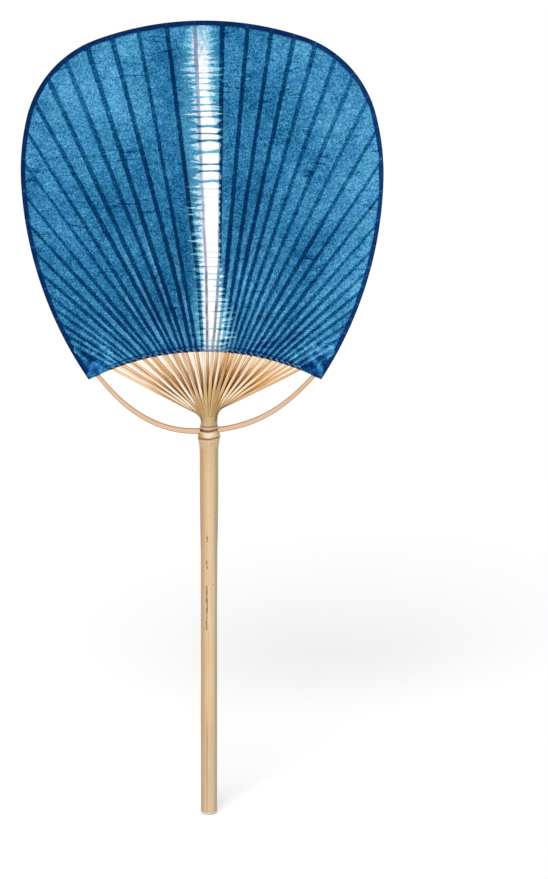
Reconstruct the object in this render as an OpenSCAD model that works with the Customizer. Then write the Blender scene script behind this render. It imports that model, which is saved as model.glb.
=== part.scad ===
// Round hand fan on a bamboo handle.
// One culm makes the handle and the ribs: above its node the wall is split into ribs, which fan out
// into one plane. A thread woven across the ribs holds them spread, and a bent bow, pushed through
// the node, holds the thread taut. Dyed cloth covers both faces and an edging folds over the rim.
//
// +Z runs up the handle, +X to the right, and the front face looks along -Y.
// The origin is on the handle's axis at the culm's lower cut end.

/* [Handle] */
// Diameter of the grip along its lower part
grip_d = 9.1; // [8.4:0.1:9.8]
// Diameter of the grip below the node
grip_top_d = 10.1; // [9.6:0.1:10.8]
// Diameter of the node's swollen ring
node_d = 12.2; // [11.4:0.1:13]
// Diameter of the neck above the node
neck_d = 9.1; // [8.6:0.1:9.6]
// Height of the node's ring above the cut end
node_z = 213.8; // [205:0.1:220]
// Height where the neck starts to split into ribs
split_z = 222.6; // [222:0.1:223]
// Thickness of the culm's wall
culm_wall = 1.45; // [1.3:0.05:1.6]
// Length of the willow core set in the lower end
core_len = 34; // [15:1:60]
// Thickness of the pale coat on the lower end
coat_t = 1.2; // [0.8:0.1:1.6]

/* [Head outline] */
// Sideways place of the crown, the highest point of the rim
crown_x = -5.2; // [-6:0.1:-4]
// Height of the crown
crown_z = 440.1; // [436:0.1:444]
// Lean of the head towards its left side, in degrees
head_lean = 1.05; // [0.5:0.05:1.5]
// Radius and turn, in degrees, of each tangent arc from the crown down one side
rim_arcs = [[171, 19], [60, 56.5], [125, 16.5], [210, 34]];
// Radius of the hollow curve that ends the cloth at the bottom
hem_r = 139.7; // [136:0.1:143]
// Centre of that curve
hem_centre = [-1.55, 121];

/* [Ribs] */
// Number of ribs split from the culm
rib_count = 38; // [30:2:44]
// Width of a rib where it goes under the cloth
rib_w = 1.8; // [1.4:0.05:1.9]
// Width of a rib at the rim
rib_tip_w = 1.35; // [1:0.05:1.6]
// Thickness of a rib under the cloth
rib_t = 0.9; // [0.7:0.05:1]
// Height at which the feet of the ribs' lines are measured
rib_foot_z = 225; // [224:0.1:226]
// Turn of the whole spread to one side, in degrees
rib_turn = -1.1; // [-2:0.1:0]
// Half of the spread, in degrees, before the closing up at the sides
rib_spread = 69; // [66:0.1:71]
// How far the outermost left rib is turned back towards the middle, in degrees
rib_close_left = 8.2; // [6:0.1:10]
// How far the outermost right rib is turned back towards the middle, in degrees
rib_close_right = 6.9; // [5:0.1:9]
// Slow wave of the hand-made spacing, in degrees
rib_wave = 0.3; // [0:0.05:0.6]
// Shift between neighbouring ribs of the left half, which stand in pairs
rib_pairing = 1.2; // [0:0.1:1.5]
// Sideways place, at the feet, of the middle of all the ribs' straight lines
rib_foot_x = -0.9; // [-1.4:0.1:-0.4]
// How far the outermost ribs' lines stand from that place at the feet
rib_foot_reach = 2.84; // [2.4:0.02:3.2]
// Distance by which the middle ribs run right of the axis
rib_gather = 4.3; // [2:0.1:5]
// How much further up the outermost right rib leaves the neck
rib_late = 5.8; // [0:0.1:7]

/* [Bow] */
// Height of the bow's hole through the node
bow_z = 217; // [216.6:0.1:217.4]
// Tilt of the hole
bow_tilt = 4.6; // [3:0.1:6]
// Rise of the left half at 60 mm from the axis, past the tilt
bow_rise_left = 34; // [32:0.5:36]
// Rise of the right half at 60 mm from the axis, past the tilt
bow_rise_right = 29; // [28:0.5:31]
// Power of the bow's curve
bow_power = 2.35; // [2.2:0.05:2.5]
// Depth of the bow in the fan's plane, at the node
bow_w = 3; // [2.6:0.1:3.1]
// Depth of the bow in the fan's plane, at its tips
bow_tip_w = 2.3; // [2:0.1:2.5]
// Thickness of the bow from front to back, at the node
bow_t = 2.8; // [2.4:0.1:2.9]
// Thickness of the bow where it nears the cloth
bow_tip_t = 1.5; // [1.2:0.1:1.8]
// Sideways reach of the left tip
bow_left = 65; // [63:0.1:65.5]
// Sideways reach of the right tip
bow_right = 61.2; // [59:0.1:61.7]

/* [Covering] */
// Thickness of the cloth with its paste
cloth_t = 0.2; // [0.15:0.05:0.25]
// Width of the edging on each face
edging_w = 2.5; // [2:0.1:3.5]
// Thickness of the edging
edging_t = 0.15; // [0.1:0.05:0.2]
// Width of the raised hem over the woven thread
hem_w = 4.5; // [4.2:0.1:5]
// Radius of one strand of the woven thread
thread_r = 0.25; // [0.2:0.01:0.26]

/* [Hidden] */
function rib_name(i) = str("rib_", i < 10 ? "0" : "", i);

// Handle: floor of the cup left in the neck, top of the core's hole, clearances round the core
neck_r = neck_d / 2;
cup_z = node_z + 6.4;
hollow_top_z = node_z - 5;
core_play = 0.2;
core_r = grip_d / 2 - culm_wall - core_play;
skin_gap = 0.02;

// Bow: its hole, and the distance from the axis at which its rises are measured
bow_hole_d = 3.6;
bow_reach = 60;
bow_steps = 34;

// Ribs: the culm's wall at the split and the share of the wall that each rib keeps
wall_mid_r = neck_r - culm_wall / 2;
split_gap = 0.03;
wall_strip = 2 * PI * wall_mid_r / rib_count - split_gap;
// Share of the spread over which the middle ribs are gathered, and the steps of the hand-made wave
gather_share = 0.22;
wave_step = 37;
wave_start = 62;
// Distances along a rib by which it reaches its own line, in the middle and at the sides
settle_middle = 90;
settle_side = 50;
// How much closer to the axis than its strip of wall a rib's line starts
foot_pull = 0.9;
// Growth of the middle ribs' width with the distance, until they are full width
rib_widening = 0.105;
// Distances at which the ribs reach their full width, their own thickness and no twist
width_end_r = 24;
thick_end_r = 20;
twist_end_r = 18;

// Thread, ties and hem
thread_path_r = hem_r + 2.1;
flat_from_r = hem_r + 2.2;
thread_play = 0.02;
rib_side_play = 0.12;
bow_side_play = 0.45;
tie_play = 0.08;
tie_turns = 5;
cloth_y = rib_t / 2;
hem_rise = 0.85;
hem_lip = 0.35;
hem_overlap = 0.1;

arc_steps = 12;

bamboo = [0.80, 0.69, 0.46];
split_bamboo = [0.90, 0.74, 0.50];
indigo = [0.13, 0.38, 0.60];
navy = [0.06, 0.13, 0.32];

// Small helpers

function mix(a, b, k) = a + (b - a) * min(1, max(0, k));
function ease(k) = let (c = min(1, max(0, k))) c * c * (3 - 2 * c);

// A slab of a flat shape drawn in the fan's plane, from y_lo to y_hi
module slab(y_lo, y_hi)
    translate([0, y_hi, 0]) rotate([90, 0, 0]) linear_extrude(y_hi - y_lo) children();

// A closed tube through rings of points, each ring with the same number of sides
module tube(rings) {
    n = len(rings[0]);
    last = len(rings) - 1;
    polyhedron(
        points = [for (ring = rings) each ring],
        faces = concat(
            [[for (j = [0:n - 1]) j]],
            [for (k = [0:last - 1], j = [0:n - 1])
                let (a = k * n + j, b = k * n + (j + 1) % n)
                each [[a, a + n, b + n], [a, b + n, b]]],
            [[for (j = [n - 1:-1:0]) last * n + j]]));
}

// Ring of a round cord at point p, running along the unit vector t, started from a side direction
function cord_ring(p, t, side, r, sides) =
    let (u = cross(side, t) / norm(cross(side, t)), v = cross(t, u))
    [for (j = [0:sides - 1]) p + r * (cos(360 * j / sides) * u + sin(360 * j / sides) * v)];

// A cord along a list of points, with a side direction for each
module cord(path, side_dirs, r, sides = 5)
    tube([for (k = [0:len(path) - 1])
        let (a = path[max(0, k - 1)], b = path[min(len(path) - 1, k + 1)])
        cord_ring(path[k], (b - a) / norm(b - a), side_dirs[k], r, sides)]);

// Outline of the head

function rim_heading(k) = k == 0 ? 0 : rim_heading(k - 1) + rim_arcs[k - 1][1];
function rim_centre(k) = k == 0 ? [0, -rim_arcs[0][0]] :
    rim_centre(k - 1) + (rim_arcs[k - 1][0] - rim_arcs[k][0]) * [sin(rim_heading(k)), cos(rim_heading(k))];

// Right half from the crown down, moved inwards by inset
function half_rim(inset) = [for (k = [0:len(rim_arcs) - 1], s = [0:arc_steps - 1])
    let (h = rim_heading(k) + rim_arcs[k][1] * s / (k == len(rim_arcs) - 1 ? arc_steps - 1 : arc_steps))
    rim_centre(k) + (rim_arcs[k][0] - inset) * [sin(h), cos(h)]];

function lean(p) = [crown_x, crown_z]
    + [p.x * cos(head_lean) - p.y * sin(head_lean), p.x * sin(head_lean) + p.y * cos(head_lean)];

// Whole rim from its lower right end over the crown to its lower left end
function rim_points(inset) =
    let (half = half_rim(inset), n = len(half))
    concat([for (k = [n - 1:-1:0]) lean(half[k])], [for (k = [1:n - 1]) lean([-half[k].x, half[k].y])]);

module rim_shape(inset) polygon(rim_points(inset));

module hem_circle(r) translate(hem_centre) circle(r = r, $fn = 180);

// Handle

module bamboo_handle() color(bamboo)
    difference() {
        rotate_extrude($fn = 96) polygon([
            [0, 0],
            [grip_d / 2, 0],
            [grip_d / 2, node_z - 68],
            [(grip_d + grip_top_d) / 4, node_z - 54],
            [grip_top_d / 2, node_z - 40],
            [grip_top_d / 2 + 0.05, node_z - 9],
            [node_d / 2 - 0.8, node_z - 5.2],
            [node_d / 2 - 0.3, node_z - 2.6],
            [node_d / 2 - 0.12, node_z - 1.6],
            [node_d / 2 - 0.3, node_z - 1.3],
            [node_d / 2 - 0.05, node_z - 0.9],
            [node_d / 2, node_z],
            [node_d / 2 - 0.2, node_z + 1],
            [node_d / 2 - 0.75, node_z + 1.9],
            [neck_r + 0.5, node_z + 2.8],
            [neck_r + 0.75, node_z + 3.4],
            [neck_r + 0.45, node_z + 4.1],
            [neck_r + 0.68, node_z + 4.7],
            [neck_r + 0.25, node_z + 5.6],
            [neck_r, node_z + 7],
            [neck_r, split_z],
            [neck_r - culm_wall, split_z],
            [neck_r - culm_wall, cup_z],
            [0, cup_z]]);
        translate([0, 0, -1]) cylinder(r = core_r, h = hollow_top_z + 1, $fn = 64);
        translate([0, 0, bow_z]) rotate([0, 90 - bow_tilt, 0])
            cylinder(d = bow_hole_d, h = 2 * node_d, center = true, $fn = 48);
    }

// Willow plug that fills the hollow at the grip's lower end
module handle_core() color("wheat")
    rotate_extrude($fn = 64) polygon([
        [0, 0],
        [core_r - skin_gap, 0],
        [core_r - skin_gap, core_len - 1],
        [core_r - 0.8, core_len],
        [0, core_len]]);

// Lacquered gesso that closes and rounds the lower end
module end_coat() color("ivory") {
    coat_r = grip_d / 2 - skin_gap;
    rotate_extrude($fn = 96) polygon([
        [0, 0],
        [coat_r, 0],
        for (a = [0:15:90]) [coat_r - coat_t * (1 - cos(a)), -coat_t * sin(a)],
        [0, -coat_t]]);
}

// Ribs

// Place of rib i across the fan, from -1 at the left to 1 at the right
function rib_place(i) = (2 * i + 1 - rib_count) / (rib_count - 1);

// Ribs of the left half stand in pairs; the pairing fades out past the middle
function pair_side(i) = (i % 2 == 1 ? 1 : -1) * min(1, max(0, (rib_count / 2 + 2 - i) / 3));

// Angle of rib i from the vertical
function rib_angle(i) =
    let (t = rib_place(i))
    rib_turn + rib_spread * t - (t < 0 ? rib_close_left : rib_close_right) * pow(t, 3)
    - rib_pairing / 4 * pair_side(i) + rib_wave * sin(wave_step * i + wave_start);

// Sideways place, at the feet's height, of the straight line that rib i follows in the cloth
function rib_foot(i) =
    let (t = rib_place(i))
    rib_foot_x + rib_foot_reach * t + rib_gather * exp(-pow(t / gather_share, 2))
    + rib_pairing * pair_side(i);

// Ribs come in turn from the front and the back of the culm's wall
function rib_face(i) = i % 2 == 1 ? -1 : 1;
function wall_angle(i) = 180 - (floor(i / 2) + 0.5) * 360 / rib_count;
function wall_x(i) = wall_mid_r * cos(wall_angle(i));
function from_flank(i) = abs(cos(wall_angle(i))) > sin(wall_angle(i));

// Sideways place of rib i's foot, which moves from the neck's wall to its own line along the rib
function rib_side(i, r) =
    let (t = rib_place(i), at_neck = foot_pull * wall_x(i) - rib_late * pow(max(0, t), 3))
    mix(at_neck, rib_foot(i), ease(r / mix(settle_middle, settle_side, abs(t))));

// Point of rib i's middle line in the fan's plane, at r from its foot
function rib_flat_point(i, r) =
    let (a = rib_angle(i)) [rib_side(i, r) + r * sin(a), rib_foot_z + r * cos(a)];

// Distance along rib i at which it crosses a circle about the hem's centre
function rib_at_circle(i, circle_r, r = 40, steps = 8) =
    let (d = norm(rib_flat_point(i, r) - hem_centre) - circle_r)
    steps == 0 ? r : rib_at_circle(i, circle_r, r - d, steps - 1);

// Distance along rib i at which it reaches the rim
function rib_at_rim(i) =
    let (a = rib_angle(i), along = [sin(a), cos(a)], across = [cos(a), -sin(a)],
         points = rim_points(0), foot = [rib_foot(i), rib_foot_z])
    max([for (k = [1:len(points) - 1])
        let (p = points[k - 1] - foot, q = points[k] - foot, s = p * across, e = q * across)
        if (s * e <= 0) mix(p * along, q * along, s / (s - e))]);

rib_flat_r = [for (i = [0:rib_count - 1]) rib_at_circle(i, flat_from_r)];
rib_end_r = [for (i = [0:rib_count - 1]) rib_at_rim(i) - 1];

// Distance of rib i from the fan's plane, at r from its foot
function rib_y(i, r) =
    let (power = 1 + 2 * pow(rib_place(i), 2))
    rib_face(i) * wall_mid_r * sin(wall_angle(i)) * (1 - pow(min(1, r / rib_flat_r[i]), power));

// Width in the fan's plane and thickness across it, at r from the foot
function rib_width(i, r) =
    r > rib_flat_r[i] ? mix(rib_w, rib_tip_w, (r - rib_flat_r[i]) / (rib_end_r[i] - rib_flat_r[i])) :
    from_flank(i) ? mix(culm_wall, rib_w, ease(r / width_end_r)) :
    min(rib_w, max(wall_strip, rib_widening * r));
function rib_thick(i, r) =
    from_flank(i) ? mix(wall_strip, rib_t, ease(2 * r / rib_flat_r[i] - 1)) :
    mix(culm_wall, rib_t, ease(r / thick_end_r));

// Turn of the section about the rib's own line, which fades as the rib leaves the wall
function rib_twist(i, r) =
    let (a = wall_angle(i), start = from_flank(i) ? (a > 90 ? 180 - a : -a) : 90 - a)
    -rib_face(i) * start * max(0, 1 - r / twist_end_r);

// Four corners of a rib's section at point p, with the rib heading h degrees off the vertical
function rib_ring(p, h, w, t, twist) =
    let (across = [cos(h), 0, -sin(h)],
         e1 = cos(twist) * across + [0, sin(twist), 0],
         e2 = -sin(twist) * across + [0, cos(twist), 0])
    [p - w / 2 * e1 - t / 2 * e2, p + w / 2 * e1 - t / 2 * e2,
     p + w / 2 * e1 + t / 2 * e2, p - w / 2 * e1 + t / 2 * e2];

function rib_point(i, r) = let (p = rib_flat_point(i, r)) [p.x, rib_y(i, r), p.y];

// Distance along rib i of the knee where it turns outwards from the neck
function knee_r(i) =
    let (away = rib_side(i, 0) - wall_x(i), s = sin(rib_angle(i)))
    abs(s) < 0.05 ? 1 : min(7, max(1, -away / s));

module rib(i) {
    start = [wall_x(i), rib_face(i) * wall_mid_r * sin(wall_angle(i)), split_z];
    knee = rib_point(i, knee_r(i));
    out_r = knee_r(i) + 4;
    out = rib_point(i, out_r);
    bend = [for (s = [0:0.25:1])
        let (p = (1 - s) * (1 - s) * start + 2 * s * (1 - s) * knee + s * s * out,
             d = (1 - s) * (knee - start) + s * (out - knee),
             r = s * out_r)
        rib_ring(p, s == 0 ? 0 : atan2(d.x, d.z), rib_width(i, r), rib_thick(i, r), rib_twist(i, r))];
    flat = rib_flat_r[i];
    end = rib_end_r[i];
    stations = [out_r + 3, out_r + 8, 0.65 * flat, 0.82 * flat, flat, mix(flat, end, 0.3), end];
    blade = [for (r = stations)
        let (d = rib_flat_point(i, r + 0.5) - rib_flat_point(i, r - 0.5))
        rib_ring(rib_point(i, r), atan2(d.x, d.y), rib_width(i, r), rib_thick(i, r), rib_twist(i, r))];
    color(split_bamboo) tube(concat(bend, blade));
}

// Bow

// Height of the bow's middle line at x
function bow_height(x) = bow_z + tan(bow_tilt) * x
    + (x < 0 ? bow_rise_left : bow_rise_right) * pow(abs(x) / bow_reach, bow_power);

function bow_point(x) = [x, 0, bow_height(x)];
function bow_dir(x) = let (d = bow_point(x + 0.1) - bow_point(x - 0.1)) d / norm(d);

// Distance of the bow's middle line from the hem's centre, at x
function bow_hem_r(x) = norm([x, bow_height(x)] - hem_centre);

function bow_depth(x) = mix(bow_w, bow_tip_w, pow(abs(x) / bow_reach, 2));
function bow_thick(x) = mix(mix(bow_t, bow_tip_t, pow(abs(x) / bow_reach, 2)), rib_t - skin_gap,
    ease((bow_hem_r(x) - hem_r) / hem_w));

// Eight-sided section, nearly round at the node and flat at the tips
function bow_ring(x) =
    let (t = bow_dir(x), up = [-t.z, 0, t.x], w = bow_depth(x) / 2, d = bow_thick(x) / 2)
    [for (c = [[0.55, 1], [1, 0.5], [1, -0.5], [0.55, -1], [-0.55, -1], [-1, -0.5], [-1, 0.5], [-0.55, 1]])
        bow_point(x) + c[0] * w * up + [0, -c[1] * d, 0]];

module bow() color(split_bamboo)
    tube([for (k = [0:bow_steps]) bow_ring(mix(-bow_left, bow_right, k / bow_steps))]);

// Woven thread and ties

// Point at an angle, in degrees from the vertical, about the hem's centre
function hem_point(angle, r, y) = [hem_centre.x + r * sin(angle), y, hem_centre.y + r * cos(angle)];

// Angle about the hem's centre at which rib i crosses the thread
function crossing(i) =
    let (p = rib_flat_point(i, rib_at_circle(i, thread_path_r)) - hem_centre) atan2(p.x, p.y);

// Half of the angle that a rib takes up along the thread
function crossing_half(i) =
    (rib_w / 2 + rib_side_play) / cos(rib_angle(i) - crossing(i)) / thread_path_r * 180 / PI;

// x at which the bow crosses the thread, found from a point just outside the hem
function bow_at_thread(x, step) = bow_hem_r(x) >= thread_path_r ? x : bow_at_thread(x + step, step);
tie_x = [bow_at_thread(-50, -0.05), bow_at_thread(50, 0.05)];
function tie_angle(side) = let (p = bow_point(tie_x[side])) atan2(p.x - hem_centre.x, p.z - hem_centre.y);

// One strand passes each rib on one face and the next rib on the other; the second strand does the
// opposite, and the two cross in every gap, one above the other
module strand(face) {
    over = rib_t / 2 + thread_r + thread_play;
    pass = thread_r + thread_play;
    from_bow = bow_tip_w / 2 + bow_side_play;
    end_angle = from_bow / thread_path_r * 180 / PI;
    path = concat(
        [hem_point(tie_angle(0) + end_angle, thread_path_r, face * 0.3)],
        [for (i = [0:rib_count - 1]) let (y = face * (i % 2 == 0 ? 1 : -1)) each [
            hem_point(crossing(i) - crossing_half(i), thread_path_r, y * over),
            hem_point(crossing(i) + crossing_half(i), thread_path_r, y * over),
            if (i < rib_count - 1)
                hem_point((crossing(i) + crossing(i + 1)) / 2, thread_path_r - y * pass, 0)]],
        [hem_point(tie_angle(1) - end_angle, thread_path_r, face * 0.3)]);
    color(navy) cord(path, [for (p = path) [p.x - hem_centre.x, 0, p.z - hem_centre.y]], thread_r);
}

// Thread wound round the bow's tip
module bow_tie(side) {
    x = tie_x[side];
    t = bow_dir(x);
    up = [-t.z, 0, t.x];
    w = bow_depth(x) / 2 + thread_r + tie_play;
    d = bow_thick(x) / 2 + thread_r + tie_play;
    pitch = 2 * thread_r + thread_play;
    steps = 12;
    path = [for (k = [0:tie_turns * steps])
        let (a = 360 * k / steps)
        bow_point(x) + (k / steps - tie_turns / 2) * pitch * t + w * cos(a) * up + [0, d * sin(a), 0]];
    color(navy) cord(path, [for (p = path) t], thread_r);
}

// Covering

// Flat sheet on the ribs' faces, raised along its lower edge where it lies over the thread
module front_sheet() {
    high = cloth_y + hem_rise;
    slab(-cloth_y - cloth_t, -cloth_y) difference() {
        rim_shape(edging_t);
        hem_circle(hem_r);
        intersection() {
            rim_shape(edging_w + hem_overlap);
            hem_circle(hem_r + hem_w);
        }
    }
    intersection() {
        translate([hem_centre.x, 0, hem_centre.y]) rotate([90, 0, 0]) rotate_extrude($fn = 180) polygon([
            [hem_r, cloth_y + hem_lip],
            [hem_r + 0.7, high],
            [hem_r + hem_w - 1.2, high],
            [hem_r + hem_w, cloth_y],
            [hem_r + hem_w, cloth_y + cloth_t],
            [hem_r + hem_w - 1, high + cloth_t],
            [hem_r + 0.5, high + cloth_t],
            [hem_r, cloth_y + hem_lip + cloth_t]]);
        slab(-5, 5) rim_shape(edging_w + hem_overlap);
    }
}

module front_cloth() color(indigo) front_sheet();
module back_cloth() color(indigo) mirror([0, 1, 0]) front_sheet();

// Strip folded over the rim on both faces
module rim_edging() color(navy) {
    inside = cloth_y + cloth_t;
    difference() {
        slab(-inside - edging_t, inside + edging_t) difference() {
            rim_shape(0);
            rim_shape(edging_w);
            hem_circle(hem_r);
        }
        slab(-inside, inside) rim_shape(edging_t);
    }
}

bamboo_handle();
handle_core();
end_coat();
bow();
strand(-1);  // thread_front
strand(1);  // thread_back
bow_tie(0);  // bow_tie_left
bow_tie(1);  // bow_tie_right
front_cloth();
back_cloth();
rim_edging();
for (i = [1:rib_count]) rib(i - 1);
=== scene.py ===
import math

import bmesh
import bpy
import numpy as np
from mathutils import Matrix, Vector


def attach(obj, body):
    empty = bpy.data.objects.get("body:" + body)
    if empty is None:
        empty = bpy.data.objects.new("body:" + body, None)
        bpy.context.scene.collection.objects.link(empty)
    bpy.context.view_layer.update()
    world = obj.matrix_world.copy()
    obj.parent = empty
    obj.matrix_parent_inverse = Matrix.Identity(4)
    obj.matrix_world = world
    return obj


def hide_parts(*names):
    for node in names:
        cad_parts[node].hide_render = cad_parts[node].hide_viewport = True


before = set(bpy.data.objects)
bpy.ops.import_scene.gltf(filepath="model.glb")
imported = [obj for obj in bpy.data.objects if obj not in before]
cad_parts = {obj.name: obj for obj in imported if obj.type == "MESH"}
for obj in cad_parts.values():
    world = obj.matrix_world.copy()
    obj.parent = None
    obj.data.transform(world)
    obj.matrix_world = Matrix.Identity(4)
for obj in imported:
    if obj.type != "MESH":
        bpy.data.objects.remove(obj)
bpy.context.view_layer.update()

# Sizes in millimetres, the same as the solids'. +Z runs up the handle and the front looks along -Y.

MM = 0.001

GRIP_R = 4.55
GRIP_TOP_R = 5.05
NODE_R = 6.1
NECK_R = 4.55
NODE_Z = 213.8
SPLIT_Z = 222.6
CULM_WALL = 1.45
BORE_R = GRIP_R - CULM_WALL - 0.18
HOLLOW_TOP_Z = NODE_Z - 5
CUP_Z = NODE_Z + 6.4
HOLE_HALF_W, HOLE_HALF_H, HOLE_DEPTH = 1.62, 1.72, 1.5
GROOVE_TURN, GROOVE_DEPTH = 0.22, 0.10
FOOT_ROUND_R, FOOT_ROUND_Z = 0.12, 0.3
STAIN_RISE = 0.9

CROWN = np.array([-5.2, 440.1])
HEAD_LEAN = math.radians(1.05)
RIM_ARCS = [(171, 19), (60, 56.5), (125, 16.5), (210, 34)]
RIM_STEPS = 60
HEADING_STEP = 0.4
HEM_R = 139.7
HEM_CENTRE = np.array([-1.55, 121.0])
HEM_W = 4.5

RIB_COUNT = 38
RIBS = range(RIB_COUNT)
RIB_W = 1.8
RIB_TIP_W = 1.35
RIB_T = 0.9
RIB_FOOT_Z = 225.0
RIB_FOOT_X = -0.9
RIB_FOOT_REACH = 2.84
RIB_TURN = -1.1
RIB_SPREAD = 69.0
RIB_CLOSE = {"left": 8.2, "right": 6.9}
RIB_WAVE = 0.3
WAVE_STEP, WAVE_START = 37, 62
RIB_PAIRING = 1.2
RIB_GATHER = 4.3
GATHER_SHARE = 0.22
RIB_LATE = 5.8
FOOT_PULL = 0.9
SETTLE_MIDDLE, SETTLE_SIDE = 90, 50
WIDTH_END_R, THICK_END_R, TWIST_END_R = 24, 20, 18

BOW_Z = 217.0
BOW_TILT = math.tan(math.radians(4.6))
BOW_RISE = (34.0, 29.0)
BOW_POWER = 2.35
BOW_REACH = 60.0
BOW_ENDS = (-65.0, 61.2)
BOW_W, BOW_TIP_W = 3.0, 2.3
BOW_T, BOW_TIP_T = 2.8, 1.5

CLOTH_T = 0.2
ON_RIBS = RIB_T / 2 + CLOTH_T
CLOTH_DIP = 0.36
HEM_TUCK = 0.12
THREAD_BULGE = 0.38
EDGING_W = 2.5
EDGING_T = 0.15
EDGING_GAP = 0.03
EDGING_DIP = 0.30
FOLD_SHARE = 0.05
FOLD_GATHER = 1.8
THREAD_R = 0.25
THREAD_PATH_R = HEM_R + 2.1
TWIST_PITCH = 1.3
THREAD_GAP = 0.02
TIE_TURNS = 5

# Marks read off the photograph: dark dents on the grip as x, z, width and height, and a crack
GRIP_MARKS = ((-0.95, 157.6, 0.5, 1.2), (-0.7, 155.9, 0.3, 0.6), (-1.2, 143.6, 0.45, 1.9),
              (-0.9, 140.8, 0.4, 1.1), (4.0, 148.4, 0.35, 0.5), (2.6, 131.0, 0.3, 0.4))
CRACK_X = -1.15
CRACK_LOW, CRACK_HIGH = 104, 132


# Small helpers for numbers and arrays

def mix(a, b, k):
    return a + (b - a) * np.clip(k, 0, 1)


def rise(values, low, high):
    """0 below low, 1 above high and smooth between; falls instead when low is above high."""
    k = np.clip((values - low) / (high - low), 0, 1)
    return k * k * (3 - 2 * k)


def unit(v):
    v = np.asarray(v, float)
    return v / np.maximum(np.linalg.norm(v, axis=-1, keepdims=True), 1e-9)


def upward(angle):
    """Unit vector in the fan's plane that leans by an angle from straight up."""
    return np.array([math.sin(angle), math.cos(angle)])


def raised(flat, y):
    """Points of the fan's plane, as x and z, at a height y in front of it or behind."""
    return np.stack([flat[..., 0], y + 0 * flat[..., 0], flat[..., 1]], -1)


def lengths(points):
    """Length along a line of points up to each of them."""
    return np.concatenate([[0], np.cumsum(np.linalg.norm(np.diff(points, axis=0), axis=1))])


def ripple(x, y, size, seed):
    """Smooth uneven values from -1 to 1 over the plane, in lumps of the given size."""
    table = np.random.default_rng(seed).uniform(-1, 1, (64, 64))
    u, v = np.asarray(x, float) / size, np.asarray(y, float) / size
    i, j = np.floor(u).astype(int), np.floor(v).astype(int)

    def row(k):
        return mix(table[i % 64, k % 64], table[(i + 1) % 64, k % 64], rise(u - i, 0, 1))

    return mix(row(j), row(j + 1), rise(v - j, 0, 1))


def hand_value(i, seed, low=0.0, high=1.0):
    """A value of its own for each numbered thing, as hand work gives it."""
    return np.random.default_rng(1000 * seed + int(i)).uniform(low, high)


# Outline of the head, from its lower left end over the crown to its lower right end

def rim_line():
    heading, last, centre, half = 0.0, RIM_ARCS[0][0], np.array([0.0, -RIM_ARCS[0][0]]), []
    for radius, turn in RIM_ARCS:
        centre = centre + (last - radius) * upward(math.radians(heading))
        for s in range(RIM_STEPS):
            half.append(centre + radius * upward(math.radians(heading + turn * s / RIM_STEPS)))
        heading, last = heading + turn, radius
    half = np.array(half + [centre + radius * upward(math.radians(heading))])
    whole = np.concatenate([half[:0:-1] * [-1, 1], half])
    c, s = math.cos(HEAD_LEAN), math.sin(HEAD_LEAN)
    return CROWN + whole @ np.array([[c, s], [-s, c]])


def clip_at_hem(line):
    """The stretch of the rim that lies above the hem's curve, ending exactly on it."""
    away = np.linalg.norm(line - HEM_CENTRE, axis=1) - HEM_R
    middle = len(line) // 2
    first = max(k for k in range(middle) if away[k] <= 0)
    last = min(k for k in range(middle, len(line)) if away[k] <= 0)
    steps = ((first, first + 1), (last, last - 1))
    ends = [mix(line[k], line[n], away[k] / (away[k] - away[n])) for k, n in steps]
    return np.concatenate([ends[:1], line[first + 1:last], ends[1:]])


class Line:
    """A line of points that is read by its length from the left end."""

    def __init__(self, points):
        self.points = points
        self.length_at = lengths(points)
        self.length = self.length_at[-1]

    def at(self, s):
        return np.stack([np.interp(s, self.length_at, self.points[:, k]) for k in range(2)], -1)

    def heading(self, s):
        low, high = np.maximum(s - HEADING_STEP, 0), np.minimum(s + HEADING_STEP, self.length)
        return unit(self.at(high) - self.at(low))

    def crossing(self, foot, along):
        """Length from the left end at which a straight line from foot crosses this line."""
        side = (self.points - foot) @ np.array([along[1], -along[0]])
        ahead = (self.points - foot) @ along
        k = next(k for k in range(len(side) - 1) if side[k] * side[k + 1] <= 0 and ahead[k] > 0)
        return float(mix(self.length_at[k], self.length_at[k + 1], side[k] / (side[k] - side[k + 1])))


# Rule of the ribs, numbered from the left side

WALL_MID_R = NECK_R - CULM_WALL / 2
WALL_PITCH = 2 * math.pi * WALL_MID_R / RIB_COUNT


def rib_place(i):
    """Place across the fan, from -1 at the left side to 1 at the right."""
    return (2 * i + 1 - RIB_COUNT) / (RIB_COUNT - 1)


def rib_face(i):
    """Face of the fan to which a rib goes at the neck: -1 for the front, 1 for the back."""
    return -1 if i % 2 == 1 else 1


def pair_side(i):
    """Side to which a rib leans towards its pair; the pairs fade out past the middle."""
    return -rib_face(i) * min(1, max(0, (RIB_COUNT / 2 + 2 - i) / 3))


def rib_angle(i):
    t = rib_place(i)
    close = RIB_CLOSE["left" if t < 0 else "right"]
    wave = RIB_WAVE * math.sin(math.radians(WAVE_STEP * i + WAVE_START))
    return math.radians(RIB_TURN + RIB_SPREAD * t - close * t ** 3 - RIB_PAIRING / 4 * pair_side(i) + wave)


def rib_foot(i):
    t = rib_place(i)
    gathered = RIB_GATHER * math.exp(-(t / GATHER_SHARE) ** 2)
    return RIB_FOOT_X + RIB_FOOT_REACH * t + gathered + RIB_PAIRING * pair_side(i)


def wall_angle(i):
    return math.radians(180 - (i // 2 + 0.5) * 360 / RIB_COUNT)


def wall_spot(i):
    """Middle of the piece of the culm's wall that becomes this rib, as x and y."""
    return WALL_MID_R * math.cos(wall_angle(i)), rib_face(i) * WALL_MID_R * math.sin(wall_angle(i))


def from_flank(i):
    return abs(wall_spot(i)[0]) > abs(wall_spot(i)[1])


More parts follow.
